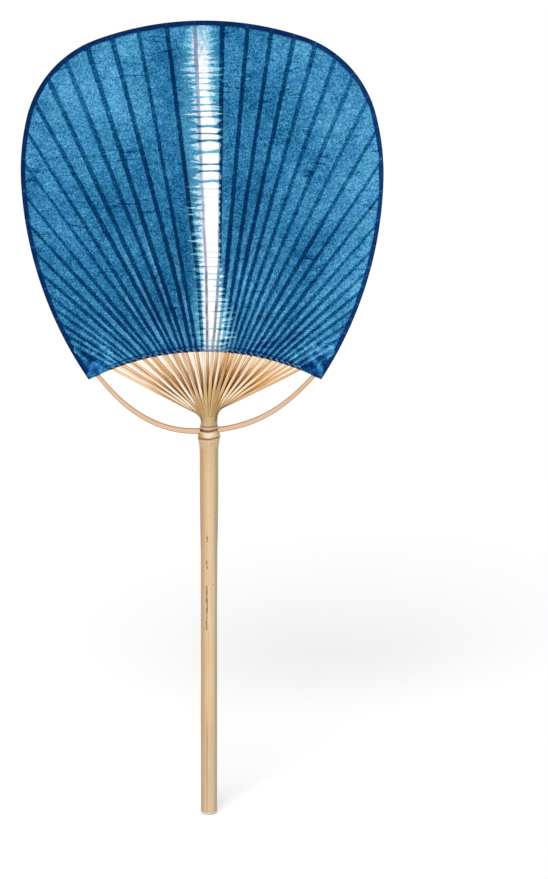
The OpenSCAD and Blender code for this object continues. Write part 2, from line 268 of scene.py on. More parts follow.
def rib_side(i, r):
    t = rib_place(i)
    at_neck = FOOT_PULL * wall_spot(i)[0] - RIB_LATE * max(0, t) ** 3
    return mix(at_neck, rib_foot(i), rise(r, 0, mix(SETTLE_MIDDLE, SETTLE_SIDE, abs(t))))


def rib_flat_point(i, r):
    a = rib_angle(i)
    return np.stack([rib_side(i, r) + r * math.sin(a), RIB_FOOT_Z + r * math.cos(a)], -1)


def rib_at_circle(i, circle_r):
    """Distance along a rib at which it crosses a circle round the hem's centre."""
    r = 40.0
    for _ in range(8):
        r -= float(np.linalg.norm(rib_flat_point(i, r) - HEM_CENTRE)) - circle_r
    return r


RIM = Line(clip_at_hem(rim_line()))
RIB_FOOT = [np.array([rib_foot(i), RIB_FOOT_Z]) for i in RIBS]
RIB_AT_RIM = [RIM.crossing(RIB_FOOT[i], upward(rib_angle(i))) for i in RIBS]
RIB_END_R = [float((RIM.at(RIB_AT_RIM[i]) - RIB_FOOT[i]) @ upward(rib_angle(i))) for i in RIBS]
RIB_FLAT_R = [rib_at_circle(i, HEM_R + 2.2) for i in RIBS]
RIB_HEM_R = [rib_at_circle(i, HEM_R) for i in RIBS]


def rib_y(i, r):
    return wall_spot(i)[1] * (1 - np.minimum(1, r / RIB_FLAT_R[i]) ** (1 + 2 * rib_place(i) ** 2))


# Rule of the bow

def bow_height(x):
    rising = np.where(np.asarray(x) < 0, BOW_RISE[0], BOW_RISE[1])
    return BOW_Z + BOW_TILT * x + rising * (np.abs(x) / BOW_REACH) ** BOW_POWER


def bow_hem_r(x):
    return np.hypot(x - HEM_CENTRE[0], bow_height(x) - HEM_CENTRE[1])


def bow_thick(x):
    body = mix(BOW_T, BOW_TIP_T, (np.abs(x) / BOW_REACH) ** 2)
    return mix(body, RIB_T - 0.02, rise(bow_hem_r(x), HEM_R, HEM_R + HEM_W))


def bow_depth(x):
    return mix(BOW_W, BOW_TIP_W, (np.abs(x) / BOW_REACH) ** 2)


# Node trees whose numbers are written as Python expressions

def colour(r, g, b):
    """A colour given as 0 to 255 numbers, in the shader's own linear scale."""
    shares = (v / 255 for v in (r, g, b))
    return tuple(v / 12.92 if v <= 0.04045 else ((v + 0.055) / 1.055) ** 2.4 for v in shares) + (1.0,)


def maths_method(operation, turned=False):
    """A method of Value that adds one Math node, with its two values turned round for 1 - value."""
    def method(self, *others):
        return self.nodes.maths(operation, *((*others, self) if turned else (self, *others)))
    return method


class Value:
    """A number in a node tree, on which Python's operators add Math nodes."""

    def __init__(self, nodes, socket):
        self.nodes, self.socket = nodes, socket

    __add__ = __radd__ = maths_method("ADD")
    __sub__ = maths_method("SUBTRACT")
    __rsub__ = maths_method("SUBTRACT", turned=True)
    __mul__ = __rmul__ = maths_method("MULTIPLY")
    __truediv__ = maths_method("DIVIDE")
    __pow__ = maths_method("POWER")
    size = maths_method("ABSOLUTE")
    sign = maths_method("SIGN")
    part = maths_method("FRACT")
    floor = maths_method("FLOOR")
    cosine = maths_method("COSINE")
    above = maths_method("GREATER_THAN")
    least = maths_method("MINIMUM")
    most = maths_method("MAXIMUM")

    def held(self):
        """The value kept from 0 to 1."""
        return self.nodes.maths("ADD", self, 0.0, clamp=True)

    def rise(self, low, high):
        """0 below low, 1 above high and smooth between; falls instead when low is above high."""
        inputs = {"Value": self, "From Min": min(low, high), "From Max": max(low, high),
                  "To Min": float(low > high), "To Max": float(low < high)}
        return self.nodes.value("ShaderNodeMapRange", {"interpolation_type": "SMOOTHSTEP"}, inputs)

    def near(self, place, edge, core):
        """1 within core of a place, falling to 0 at edge from it."""
        return (self - place).size().rise(edge, core)

    def within(self, low, low_full, high_full, high):
        """0 outside low and high, 1 between the two full values."""
        return self.rise(low, low_full) * self.rise(high, high_full)


class Nodes:
    """A node tree under construction."""

    def __init__(self, tree):
        self.tree = tree

    def node(self, kind, settings=None, inputs=None):
        made = self.tree.nodes.new(kind)
        for key, value in (settings or {}).items():
            if key == "stops":
                while len(made.color_ramp.elements) < len(value):
                    made.color_ramp.elements.new(1.0)
                for element, (place, shade) in zip(made.color_ramp.elements, value):
                    element.position, element.color = place, shade
            else:
                setattr(made, key, value)
        for key, value in (inputs or {}).items():
            value = value.socket if isinstance(value, Value) else value
            if isinstance(value, bpy.types.NodeSocket):
                self.tree.links.new(value, made.inputs[key])
            else:
                made.inputs[key].default_value = value
        return made

    def value(self, kind, settings=None, inputs=None, output=0):
        return Value(self, self.node(kind, settings, inputs).outputs[output])

    def maths(self, operation, *values, clamp=False):
        settings = {"operation": operation, "use_clamp": clamp}
        return self.value("ShaderNodeMath", settings, dict(enumerate(values)))

    def vector(self, *values):
        return self.value("ShaderNodeCombineXYZ", {}, dict(enumerate(values)))

    def vector_maths(self, operation, *values, **inputs):
        inputs.update(enumerate(values))
        return self.value("ShaderNodeVectorMath", {"operation": operation}, inputs)

    def axes(self, vector):
        return [Value(self, s) for s in self.node("ShaderNodeSeparateXYZ", {}, {0: vector}).outputs]


# Materials

class Look(Nodes):
    """A material under construction: a base colour on which coats of paint are laid."""

    def __init__(self, name, rough, specular=0.5):
        self.material = bpy.data.materials.new(name)
        self.material.use_nodes = True
        super().__init__(self.material.node_tree)
        self.tree.nodes.clear()
        uniform = {"Roughness": rough, "Specular IOR Level": specular}
        self.shader = self.node("ShaderNodeBsdfPrincipled", {}, uniform)
        self.end = self.node("ShaderNodeOutputMaterial", {}, {"Surface": self.shader.outputs[0]})
        place = self.value("ShaderNodeTexCoord", output="Object")
        self.mm = self.vector_maths("SCALE", place, Scale=1000)

    def read(self, name, output="Fac"):
        return self.value("ShaderNodeAttribute", {"attribute_name": name}, output=output)

    def cloud(self, size, space=None, stretch=None, detail=2, rough=0.5, distortion=0):
        """Soft noise from -0.5 to 0.5 with lumps of about size millimetres."""
        space = space or self.mm
        if stretch:
            space = self.vector_maths("MULTIPLY", space, stretch)
        inputs = {"Vector": space, "Scale": 1 / size, "Detail": detail, "Roughness": rough,
                  "Distortion": distortion}
        return self.value("ShaderNodeTexNoise", {}, inputs, "Fac") - 0.5

    def chance(self, value):
        """A chance number from 0 to 1 for each whole value."""
        return self.value("ShaderNodeTexWhiteNoise", {"noise_dimensions": "1D"}, {"W": value}, "Value")

    def ramp(self, value, *stops):
        """Colours along a value, each stop as its place and three 0 to 255 numbers."""
        stops = [(place, colour(*shade)) for place, *shade in stops]
        return self.value("ShaderNodeValToRGB", {"stops": stops}, {"Fac": value}, "Color")

    def blend(self, share, under, over):
        """One colour over another by a share, which the node holds from 0 to 1."""
        under, over = (colour(*c) if isinstance(c, tuple) else c for c in (under, over))
        return self.value("ShaderNodeMix", {"data_type": "RGBA"}, {0: share, 6: under, 7: over}, 2)

    def paint(self, share, shade):
        self.base = self.blend(share, self.base, shade)

    def finish(self, rough, height, distance, strength):
        """Link the base colour, the roughness and a bump of a distance in millimetres."""
        inputs = {"Height": height, "Distance": distance * MM, "Strength": strength}
        bump = self.value("ShaderNodeBump", {}, inputs)
        for key, value in {"Base Color": self.base, "Roughness": rough, "Normal": bump}.items():
            self.tree.links.new(value.socket, self.shader.inputs[key])
        return self.material


def dyed_cloth():
    """Indigo cloth: fibre grain, darker rib lines, and a white stripe left by tied folds."""
    look = Look("dyed_cloth", 0.9, 0.03)
    cloud, read, blend, paint = look.cloud, look.read, look.blend, look.paint
    x, _, z = look.axes(look.mm)
    rib_tone, pitch, count = read("rib_tone"), read("rib_pitch"), read("rib_count")
    hem_gap, rim_gap, corner = read("hem_gap"), read("rim_gap"), read("corner")
    rib_gap = ((count + 0.5).part() - 0.5) * pitch

    # Tone of the blue: coarse fibre, blotches, paler sides and a darker middle
    grain = cloud(0.95, rough=0.75, distortion=0.5)
    speck = cloud(0.5, detail=1)
    mottle = cloud(6, detail=3, rough=0.65)
    sides = x.rise(30, 92) - x.rise(-40, -92) * 0.35 + x.rise(-20, -62) * z.rise(335, 400) * 1.3
    middle = x.near(-6, 52, 0) * z.rise(415, 350)
    tone = 0.55 + grain * 1.4 + speck * 0.8 + mottle * 0.5 + cloud(34) * 0.55 + sides * 0.14 - middle * 0.13

    # Faint level creases where the cloth was folded for dyeing
    folds = (cloud(1, stretch=(0.012, 0.012, 0.11)) * 6).part()
    tone = tone - folds.near(0.5, 0.075, 0.015) * cloud(12).rise(-0.02, 0.08) * 0.3

    # The ribs show through as dark lines, broader and with paler streaks of painted highlight between them
    # towards the hem
    away = (rib_gap + cloud(9, detail=1) * 0.6).size()
    outer = x.size().rise(22, 70)
    broad = (0.72 + rib_tone * 0.32 + outer * 0.36 + hem_gap.rise(90, 10) * 0.12).least(pitch * 0.22)
    uneven = cloud(6)
    line = (away - broad).rise(0.5, -0.3) * (0.66 + rib_tone * 0.45 + uneven * 0.9).held()
    beside = (away - broad).rise(0.1, 0.7) * pitch.rise(7.5, 2.8)
    streak = cloud(1.3, look.vector(rib_gap * 1.2, count, hem_gap * 0.12))
    tone = tone - line * (0.47 - outer * 0.09) + beside * (0.13 + streak * 1.1)
    # Painted highlight on the crests of the crumpled corners and painted shade in their hollows
    tone = tone + (read("crumple") - 0.4) * corner.rise(0, 0.5) * 0.8
    tone = tone - corner.rise(0.7, 1) * x.rise(-90, 60) * 0.24
    look.base = look.ramp(tone, (0, 0, 38, 80), (0.22, 0, 66, 110), (0.45, 30, 104, 152),
                          (0.7, 62, 140, 190), (1, 112, 190, 232))
    sea = look.ramp(tone, (0, 0, 48, 84), (0.45, 30, 114, 152), (1, 112, 198, 226))
    paint(cloud(15).rise(-0.08, 0.16) * 0.35, sea)
    # Pale streaks of painted highlight on the cloth between the ribs
    paint(beside * (streak * 2.2 + 0.4).held() * 0.4, (126, 164, 198))
    paint(corner.rise(0.4, 1) * 0.4, blend(tone, (0, 26, 96), (50, 136, 214)))

    # White stripe: folds were tied along it, so undyed tongues reach out from a core on both sides
    streaks = cloud(0.95, stretch=(0.2, 0.3, 1), detail=3, rough=0.7)
    phase = read("tie_phase") + cloud(7, stretch=(0.06, 1, 0.7), detail=1) * 1.6
    lean = cloud(15, stretch=(0.02, 1, 1), detail=1) * 0.5
    left_base, left_tip = read("left_base"), read("left_tip")
    right_base, right_tip = read("right_base"), read("right_tip")
    left_past, right_past = left_base - x, x - right_base

    def tongues(turns, past, reach, seed, slant=0.0):
        """Share of white at a distance past the core's edge, for tongues of about the given reach."""
        turn = phase * turns + seed + past * (lean + slant)
        peak = 1 - (turn.part() * 2 - 1).size()
        longest = look.chance(turn.floor() + seed) * 0.65 + 0.65
        far = past / reach
        near = (peak ** 0.8 * longest - 0.02 + streaks * 1.8 - far).rise(-0.22, 0.3)
        return near * (1 - far.held() * 0.4)

    left_reach, right_reach = left_base - left_tip, right_tip - right_base
    left = tongues(1.0, left_past, left_reach * 1.05, 0.3)
    left = left.most(tongues(1.9, left_past, left_reach * 0.85, 5.1, -0.03))
    right = tongues(1.0, right_past, right_reach * 1.1, 0.3, -0.02)
    right = right.most(tongues(1.6, right_past, right_reach * 0.8, 2.7, -0.06))
    torn = 1 - (cloud(1.1, stretch=(1, 1, 1.7), detail=3, rough=0.75) * 2.6 + 0.68).held()
    left = left * (1 - left_past.rise(0, 2) * torn * 0.75)
    right = right * (1 - right_past.rise(0, 3) * torn * z.rise(345, 400) * 0.7)
    cut_by_rib = line * left_past.most(right_past).rise(0.3, 1.6) * z.rise(335, 300)
    white = left * right * (1 - cut_by_rib * (0.65 - right_past.rise(0, 1) * 0.25))

    # Blue bands lie right across the core, thicker at both of their ends
    across = (x - left_base - 4.6) / 5.2
    valley = 0.5 - ((phase + 0.3).part() - 0.5).size()
    tie_line = (valley - across * across * 0.05 - (across * 0.09).most(0) + streaks * 0.3).rise(0.165, 0.03)
    tie_line = tie_line * read("tie_band") * (look.chance((phase + 0.8).floor() * 3.1) + 0.45).held()
    white = white * (1 - tie_line * 0.92)
    level = (read("white_level") + cloud(1.6, detail=3, rough=0.7) * 1.3).rise(0.2, 0.8)
    fringe = (x - left_tip + 1.5).rise(-2, 4) * (x - right_tip - 1.5).rise(2, -4)
    fringe = fringe * (0.55 + mottle * 1.5).held() * (1 + z.rise(300, 262)) * (1 - line)
    paint((white.rise(0, 0.45) * 0.85).most(fringe * 0.42), (112, 194, 224))
    seen_rib = (away - z.rise(330, 420) * 0.35).rise(1.1, 0.35) * (0.85 + uneven * 1.3).held()
    paint(seen_rib * z.rise(400, 425) * white.rise(0, 0.3) * 0.7, (104, 112, 158))
    undyed = blend((cloud(3) + 0.25).held() * 0.5, (255, 255, 254), (228, 242, 248))
    rib_shade = blend(z.rise(290, 330), (96, 66, 88), (132, 116, 166))
    paint(white.rise(0.36, 0.95) * level, blend(seen_rib * 0.92, undyed, rib_shade))

    # Hem: a dark edge of painted shadow under the cloth's edge, broken by slanting slits of painted
    # highlight, and a dark line above it
    band, hem_line = read("band"), hem_gap + cloud(5) * 0.5
    navy = look.ramp(0.3 + grain * 1.1 + speck * 0.5, (0, 0, 18, 66), (0.5, 0, 40, 98), (1, 44, 98, 150))
    edge = hem_line.rise(1.9, 1.3)
    dark = edge.most(hem_line.near(3.1, 0.6, 0.25) * 0.85).most(hem_line.near(2.2, 0.9, 0.5) * 0.35)
    paint(dark * band * (1 - white * 0.55) * 0.95, navy)
    hem_glint = ((read("along_hem") + hem_gap * 1.1) / 3.5).part().near(0.5, 0.2, 0.1)
    paint(hem_glint * edge * band * (0.75 + cloud(4) * 2).held() * 0.65, (160, 190, 212))

    # Painted shade on the cloth beside the edging's inner edge
    paint(rim_gap.rise(3.8, 2.3) * 0.5 * (1 - white * 0.5), (0, 44, 92))
    return look.finish(0.84 + grain * 0.1, grain + speck * 0.4, 0.10, 0.7)


def navy_edging():
    """Narrow pasted strip: dark blue, paler over the ribs' ends and darkest along its fold."""
    look = Look("navy_edging", 0.8, 0.05)
    x, _, _ = look.axes(look.mm)
    grain = look.cloud(0.8, detail=3, rough=0.75)
    over_rib = (look.read("rib_gap").size() + grain).rise(0.5, 0.15)
    tone = 0.27 + grain * 1.5 + look.cloud(9) * 0.7 + x.rise(35, 90) * 0.15 + over_rib * 0.28
    look.base = look.ramp(tone, (0, 0, 26, 72), (0.4, 4, 48, 102), (0.75, 28, 82, 134), (1, 96, 142, 184))
    look.paint(look.read("fold").rise(0.15, 0.8) * 0.75, (18, 34, 62))
    return look.finish(0.78 + grain * 0.2, grain, 0.06, 0.7)


def culm_skin():
    """Smooth skin of the culm: pale khaki with long streaks, a waxy bloom and brown rings at the node."""
    look = Look("culm_skin", 0.45, 0.3)
    cloud, paint = look.cloud, look.paint
    x, y, z = look.axes(look.mm)
    long_way = (1, 1, 0.018)
    streak = cloud(0.9, stretch=long_way, detail=3, rough=0.65)
    broad = cloud(3.2, stretch=long_way)
    blotch = cloud(16, stretch=(1, 1, 0.5))
    look.base = look.ramp(0.55 + streak * 0.6 + broad * 0.5 + blotch * 0.4, (0, 172, 134, 92),
                          (0.3, 204, 170, 124), (0.6, 226, 197, 154), (1, 242, 222, 184))
    paint(x.rise(0.5, -4.8) * 0.5 + broad * 0.5, (206, 158, 120))
    paint(x.rise(1, 5) * 0.5 + blotch * 0.4, (202, 188, 138))

    # Tan neck above the node, and waxy bloom with an amber and a lime side on the node's ridge
    up = z - look.read("ring_shift") - (STAIN_RISE + NODE_Z)
    khaki = look.ramp(0.5 + streak * 0.9 + broad * 0.6, (0, 150, 118, 74), (0.5, 192, 163, 114),
                      (1, 220, 194, 146))
    # Painted highlight down the middle of the neck
    khaki = look.blend(x.near(-0.4, 2.6, 0.4) * (0.35 + blotch * 0.8).held(), khaki, (222, 206, 166))
    # Painted shade on the neck's round sides
    paint(up.rise(5.2, 6.6), look.blend(x.size().rise(2.9, 5.5) * 0.45, khaki, (146, 120, 78)))
    bloom = up.within(-0.9, -0.1, 1.6, 2.6) * (0.8 + cloud(1.4, stretch=(1, 1, 0.5), detail=3) * 2.2).held()
    paint(bloom * (1 - x.size() * 0.12), (236, 228, 206))
    paint(up.within(-2.6, -1.6, 0.8, 2.4) * x.rise(-1.5, -4.8) * 0.8, (190, 134, 78))
    paint(up.within(-0.6, 0.2, 1.6, 3.0) * x.rise(2.2, 4.6) * 0.7, (196, 180, 116))

    # Brown stain in the grooves of the node and on the leaf scar, with a pinkish ridge between the grooves
    paint(up.near(3.95, 0.8, 0.3) * 0.6, (206, 158, 128))
    uneven = (0.95 + cloud(1.8) * 1.3).held()
    groove = up.near(2.95, 0.85, 0.3).most(up.near(5.0, 0.62, 0.2) * 0.8)
    paint(groove * uneven * 0.95, (104, 58, 42))
    scar = up.near(-1.3, 0.62, 0.2).most(up.near(-0.75, 0.5, 0.15) * 0.35)
    paint(scar * uneven * 0.95, (128, 76, 42))
    paint(up.near(5.7, 0.5, 0.1) * uneven * 0.45, (150, 108, 74))

    # Dark specks, one fine crack with dents round it and a pale line beside it
    paint(cloud(1.1, stretch=(1, 1, 0.35), detail=1).rise(0.25, 0.29) * 0.6, (132, 96, 66))
    front = y.rise(0, -2)
    off_crack = x - CRACK_X + cloud(9, detail=1) * 0.7
    crack = z.within(CRACK_LOW, CRACK_LOW + 3, CRACK_HIGH - 2.5, CRACK_HIGH)
    crack = off_crack.size().rise(0.58, 0.2) * crack * (0.75 + cloud(2.4) * 2).held()
    crack = crack.most(off_crack.size().rise(0.25, 0.05) * z.within(138, 143, 158, 166) * 0.35)
    for mark_x, mark_z, wide, tall in GRIP_MARKS:
        reach = ((x - mark_x) / wide) ** 2 + ((z - mark_z) / tall) ** 2
        crack = crack.most(reach.rise(1.2, 0.3) * 0.8)
    crack = crack * front
    beside = off_crack.near(0.9, 0.7, 0.2) * z.within(CRACK_LOW, CRACK_LOW + 3, CRACK_HIGH - 3, CRACK_HIGH)
    paint(beside * front * 0.4, (240, 214, 172))
    paint(crack * 0.9, (74, 44, 28))

    # Painted shade on the grip's sides, painted shadow in the bow's hole, a greyer lower end and a long
    # crease in it
    below_node = z.rise(NODE_Z - 4, NODE_Z - 8)
    paint(x.rise(2.2, 4.4) * below_node * 0.5, (150, 136, 116))
    paint(x.rise(-0.8, -4.2) * below_node * 0.5, (176, 132, 98))
    paint(x.near(-4.3, 1.5, 0.6) * up.near(3.2, 0.95, 0.4) * 0.85, (30, 12, 6))
    paint(z.rise(56, 30) * 0.22, (196, 184, 160))
    crease = (x + 1 + cloud(30, detail=1) * 0.9).size().rise(0.35, 0.05)
    paint(crease * front * z.rise(68, 40) * 0.6, (146, 106, 74))

    # Splits between the ribs start as fine dark lines at the top of the neck
    split = look.read("split_gap").rise(0.09, 0.03) * z.rise(SPLIT_Z - 0.4, SPLIT_Z + 1.4)
    split = split * (0.95 + cloud(1.5, stretch=(1, 1, 0.2)) * 1.1).held()
    paint(split * 0.8, (104, 72, 46))
    height = streak * 0.5 + broad * 0.3 - groove * 0.3 - crack * 0.5 - split * 0.5
    return look.finish(0.42 + streak * 0.16 + bloom * 0.25, height, 0.12, 0.55)


def split_strip():
    """Split bamboo of the ribs: the culm's skin at their feet, then a cream and a tan side along each,
    partly the strip's two faces and partly painted highlight and shade.
    """
    look = Look("split_strip", 0.6, 0.22)
    cloud, paint = look.cloud, look.paint
    x, _, _ = look.axes(look.mm)
    across, out, _ = look.axes(look.read("ring", "Vector"))
    along, own, facing = look.read("along"), look.read("tone"), out * look.read("face")
    own_tone = own - 0.5
    fibre_space = look.vector(across * 1.6, along * 0.025, own * 40)
    fibre = cloud(0.28, fibre_space, detail=3, rough=0.65)
    drift = cloud(1.3, look.vector(across * 0.8, along * 0.05, own * 17))
    golden = (x / 60 + 0.35 + own_tone * 0.7).held()

    cream = look.ramp(0.55 + fibre * 1.2 + own_tone * 0.5, (0, 230, 198, 158), (0.4, 252, 230, 200),
                      (1, 255, 252, 240))
    cream = look.blend((golden * 1.2 - 0.3).held() * 0.7, cream, (240, 200, 138))
    tan = look.ramp(0.5 + fibre * 1.5 + own_tone * 0.9 + drift * 0.9, (0, 170, 118, 66),
                    (0.3, 210, 162, 108), (0.65, 230, 188, 138), (1, 244, 214, 172))
    tan = look.blend(golden * 0.6, tan, (220, 166, 90))
    # The cream side is partly a painted highlight and the tan side partly painted shade
    side = (across + look.read("lean") * 1.3 - 0.05 + drift * 1.6).rise(-0.35, 0.35)
    look.base = look.blend(side, cream, tan)
    pink = (drift + 0.12).held() * (0.3 - x / 90).held()
    paint((pink * 2.2).held() * 0.5, (238, 196, 178))

    # Thin brown edges of painted shade, stronger near the neck; the faces towards the other layer get a
    # paler golden tone that lifts their shade, and painted shade near the neck
    edge = (across.size() + cloud(0.6, fibre_space) * 0.6 + along.rise(42, 14) * 0.12).rise(0.52, 0.92)
    brown = look.blend(along.rise(36, 18), (128, 80, 36), (90, 52, 20))
    paint(edge * (0.42 + along.rise(50, 14) * 0.5), brown)
    inner = facing.rise(0.3, -0.4)
    paint(inner * 0.55, (236, 182, 104))
    paint(inner * along.rise(38, 14) * 0.7, (140, 82, 34))

    # Feet still carry the culm's khaki skin on their outer face
    skin = look.ramp(0.5 + fibre * 1.3 + drift * 0.9, (0, 164, 122, 72), (0.45, 196, 160, 104),
                     (1, 222, 190, 138))
    foot = (along + drift * 16 + own_tone * 14 + x.size() * 2.6 - 12).rise(21, 10)
    paint(foot * facing.rise(-0.5, 0.1) * 0.92, skin)
    # Painted shade in the narrow gaps between the feet, along the strips' edges
    paint(across.size().rise(0.72, 0.95) * along.rise(16, 4) * 0.6, (96, 60, 32))
    paint(cloud(0.55, fibre_space).rise(0.08, 0.16) * along.rise(40, 12) * 0.5, (126, 76, 38))
    return look.finish(0.58 + fibre * 0.15, fibre, 0.05, 0.6)


def bow_strip():
    """Shaved bow: peach-tan with long fibres, a fine seam and darker edges."""
    look = Look("bow_strip", 0.5, 0.35)
    up, out, _ = look.axes(look.read("ring", "Vector"))
    along = look.read("along")
    fibre_space = look.vector(up * 1.5, along * 0.02, out)
    fibre = look.cloud(0.3, fibre_space, detail=3, rough=0.6)
    patch = look.cloud(1, look.vector(along * 0.05, 0.0, 0.0))
    tone = 0.52 + fibre * 0.7 + look.cloud(1.6, fibre_space, detail=1) * 0.5 + patch * 0.5
    look.base = look.ramp(tone, (0, 196, 152, 112), (0.4, 218, 180, 142), (0.75, 232, 199, 164),
                          (1, 244, 218, 188))
    seam = (up - 0.15 + patch * 0.5).size().rise(0.09, 0.02) * along.rise(8, 20)
    look.paint(seam * 0.5, (166, 128, 92))
    look.paint((patch + 0.2).held() * 0.8, (236, 190, 150))
    look.paint((up.size() + patch * 0.3).rise(0.42, 0.78) * 0.74, (140, 100, 66))
    return look.finish(0.525 + fibre * 0.15, fibre * 0.6 - seam * 0.6, 0.06, 0.6)


def twisted_thread():
    """Dyed cotton thread of two plies."""
    look = Look("twisted_thread", 0.85, 0.2)
    look.shader.inputs["Sheen Weight"].default_value = 0.2
    fluff = look.cloud(0.16)
    look.base = look.ramp(0.4 + fluff * 1.2, (0, 4, 20, 54), (0.6, 14, 44, 92), (1, 58, 92, 138))
    return look.finish(0.85 + fluff * 0.1, fluff, 0.04, 0.8)


def end_gesso():
    """Pale coat on the cut end, with fine brush marks, a joint above and a dark edge below."""
    look = Look("end_gesso", 0.5, 0.4)
    _, _, z = look.axes(look.mm)
    brush = look.cloud(0.5, stretch=(1, 1, 3), detail=3)
    blot = look.cloud(2.6)
    look.base = look.ramp(0.55 + brush * 0.5 + blot * 0.6, (0, 216, 202, 172), (0.5, 244, 236, 216),
                          (1, 252, 250, 240))
    look.paint(z.rise(-0.3, -0.05) * 0.3, (170, 146, 112))
    look.paint(z.rise(-0.62, -0.95) * 0.85, (82, 62, 44))
    return look.finish(0.52 + brush * 0.2, brush + blot * 0.5, 0.08, 0.6)


def willow_wood():
    """Whittled plug inside the grip."""
    look = Look("willow_wood", 0.65)
    grain = look.cloud(0.5, stretch=(1, 1, 0.05), detail=3)
    look.base = look.ramp(grain + 0.5, (0.3, 196, 172, 134), (0.7, 222, 204, 170))
    return look.finish(0.675 + grain * 0.15, grain, 0.05, 0.6)


# Pieces as meshes

def placed(name, data, material=None):
    """A new object in the scene, for a mesh, a lamp or a camera."""
    made = bpy.data.objects.new(name, data)
    bpy.context.scene.collection.objects.link(made)
    if material is not None:
        data.materials.clear()
        data.materials.append(material)
    return made


def tidy(mesh, sharp, merge=0.0):
    """Merge points closer than merge, if it is given, point every face outwards and keep hard edges."""
    work = bmesh.new()
    work.from_mesh(mesh)
    if merge:
        bmesh.ops.remove_doubles(work, verts=work.verts, dist=merge * MM)
        bmesh.ops.dissolve_degenerate(work, edges=work.edges, dist=1e-9)
    bmesh.ops.recalc_face_normals(work, faces=work.faces)
    work.to_mesh(mesh)
    work.free()
    mesh.shade_smooth()
    mesh.set_sharp_from_angle(angle=math.radians(sharp))
    mesh.update()
    return mesh


def build_mesh(name, points, values, edges=(), faces=()):
    """A mesh of points in millimetres, with a value or a vector a point for each named attribute."""
    mesh = bpy.data.meshes.new(name)
    mesh.from_pydata((np.reshape(points, (-1, 3)) * MM).tolist(), list(edges), list(faces))
    for key, rows in values.items():
        of_vectors = np.size(rows) > len(mesh.vertices)
        kind, field = ("FLOAT_VECTOR", "vector") if of_vectors else ("FLOAT", "value")
        attribute = mesh.attributes.new(key, kind, "POINT")
        attribute.data.foreach_set(field, np.asarray(rows, np.float32).ravel())
    return mesh


# One tree sweeps a strip or a cord along each rail: the rail's points carry the middle, the half
# width vector and the half thickness vector, and the section runs from round to nearly square.
# A second tree folds the edging over the rim.

class Sweep(Nodes):
    """A Geometry Nodes tree that sweeps a section along rails and gives the piece its finish."""

    def __init__(self, name, given, sizes):
        super().__init__(bpy.data.node_groups.new(name, "GeometryNodeTree"))
        face = self.tree.interface
        face.new_socket(given, in_out="INPUT", socket_type="NodeSocketGeometry")
        for label, kind, value in sizes:
            face.new_socket(label, in_out="INPUT", socket_type=kind).default_value = value
        face.new_socket("Finish", in_out="INPUT", socket_type="NodeSocketMaterial")
        face.new_socket("Made", in_out="OUTPUT", socket_type="NodeSocketGeometry")
        self.inputs = self.node("NodeGroupInput").outputs
        self.rails = self.value("GeometryNodeMeshToCurve", {}, {"Mesh": self.inputs[given]})

    def given(self, label):
        return Value(self, self.inputs[label])

    def named(self, label, kind="FLOAT"):
        made = self.node("GeometryNodeInputNamedAttribute", {"data_type": kind}, {"Name": label})
        return Value(self, next(s for s in made.outputs if s.enabled))

    def kept(self, shape, label, value, kind="FLOAT"):
        return self.value("GeometryNodeStoreNamedAttribute", {"data_type": kind, "domain": "POINT"},
                          {"Geometry": shape, "Name": label, "Value": value})

    def circle(self, count):
        return self.value("GeometryNodeCurvePrimitiveCircle", {"mode": "RADIUS"},
                          {"Resolution": count, "Radius": 1.0}, "Curve")

    def swept(self, section):
        return self.value("GeometryNodeCurveToMesh", {},
                          {"Curve": self.rails, "Profile Curve": section, "Fill Caps": True})

    def finished(self, shape, *moves):
        """Set each point at its rail's middle plus each vector by its amount, and close the tree."""
        place = self.named("middle", "FLOAT_VECTOR")
        for vector, amount in moves:
            place = self.vector_maths("ADD", place, self.vector_maths("SCALE", vector, Scale=amount))
        moved = self.value("GeometryNodeSetPosition", {}, {"Geometry": shape, "Position": place})
        whole = self.value("GeometryNodeRealizeInstances", {}, {"Geometry": moved})
        inputs = {"Geometry": whole, "Material": self.inputs["Finish"]}
        self.node("NodeGroupOutput", {}, {"Made": self.value("GeometryNodeSetMaterial", {}, inputs)})
        return self.tree


def strip_tree():
    """Strips and cords along rails: each point of a rail gives the section's two half sizes as vectors."""
    tree = Sweep("strip_along_rails", "Rails", (
        ("Sides", "NodeSocketInt", 12), ("Lobes", "NodeSocketInt", 0),
        ("Lobe Depth", "NodeSocketFloat", 0.0)))
    x, y, _ = tree.axes(tree.value("GeometryNodeInputPosition"))
    swell = 1 + (tree.maths("ARCTAN2", y, x) * tree.given("Lobes")).cosine() * tree.given("Lobe Depth")
    section = tree.circle(tree.given("Sides"))
    swept = tree.swept(tree.kept(section, "ring", tree.vector(x * swell, y * swell), "FLOAT_VECTOR"))

    # Each side of the section is pushed out towards a square by the rail's own softness
    x, y, _ = tree.axes(tree.named("ring", "FLOAT_VECTOR"))
    soft = tree.named("soft")
    return tree.finished(swept, (tree.named("across", "FLOAT_VECTOR"), x.sign() * x.size() ** soft),
                         (tree.named("facing", "FLOAT_VECTOR"), y.sign() * y.size() ** soft))


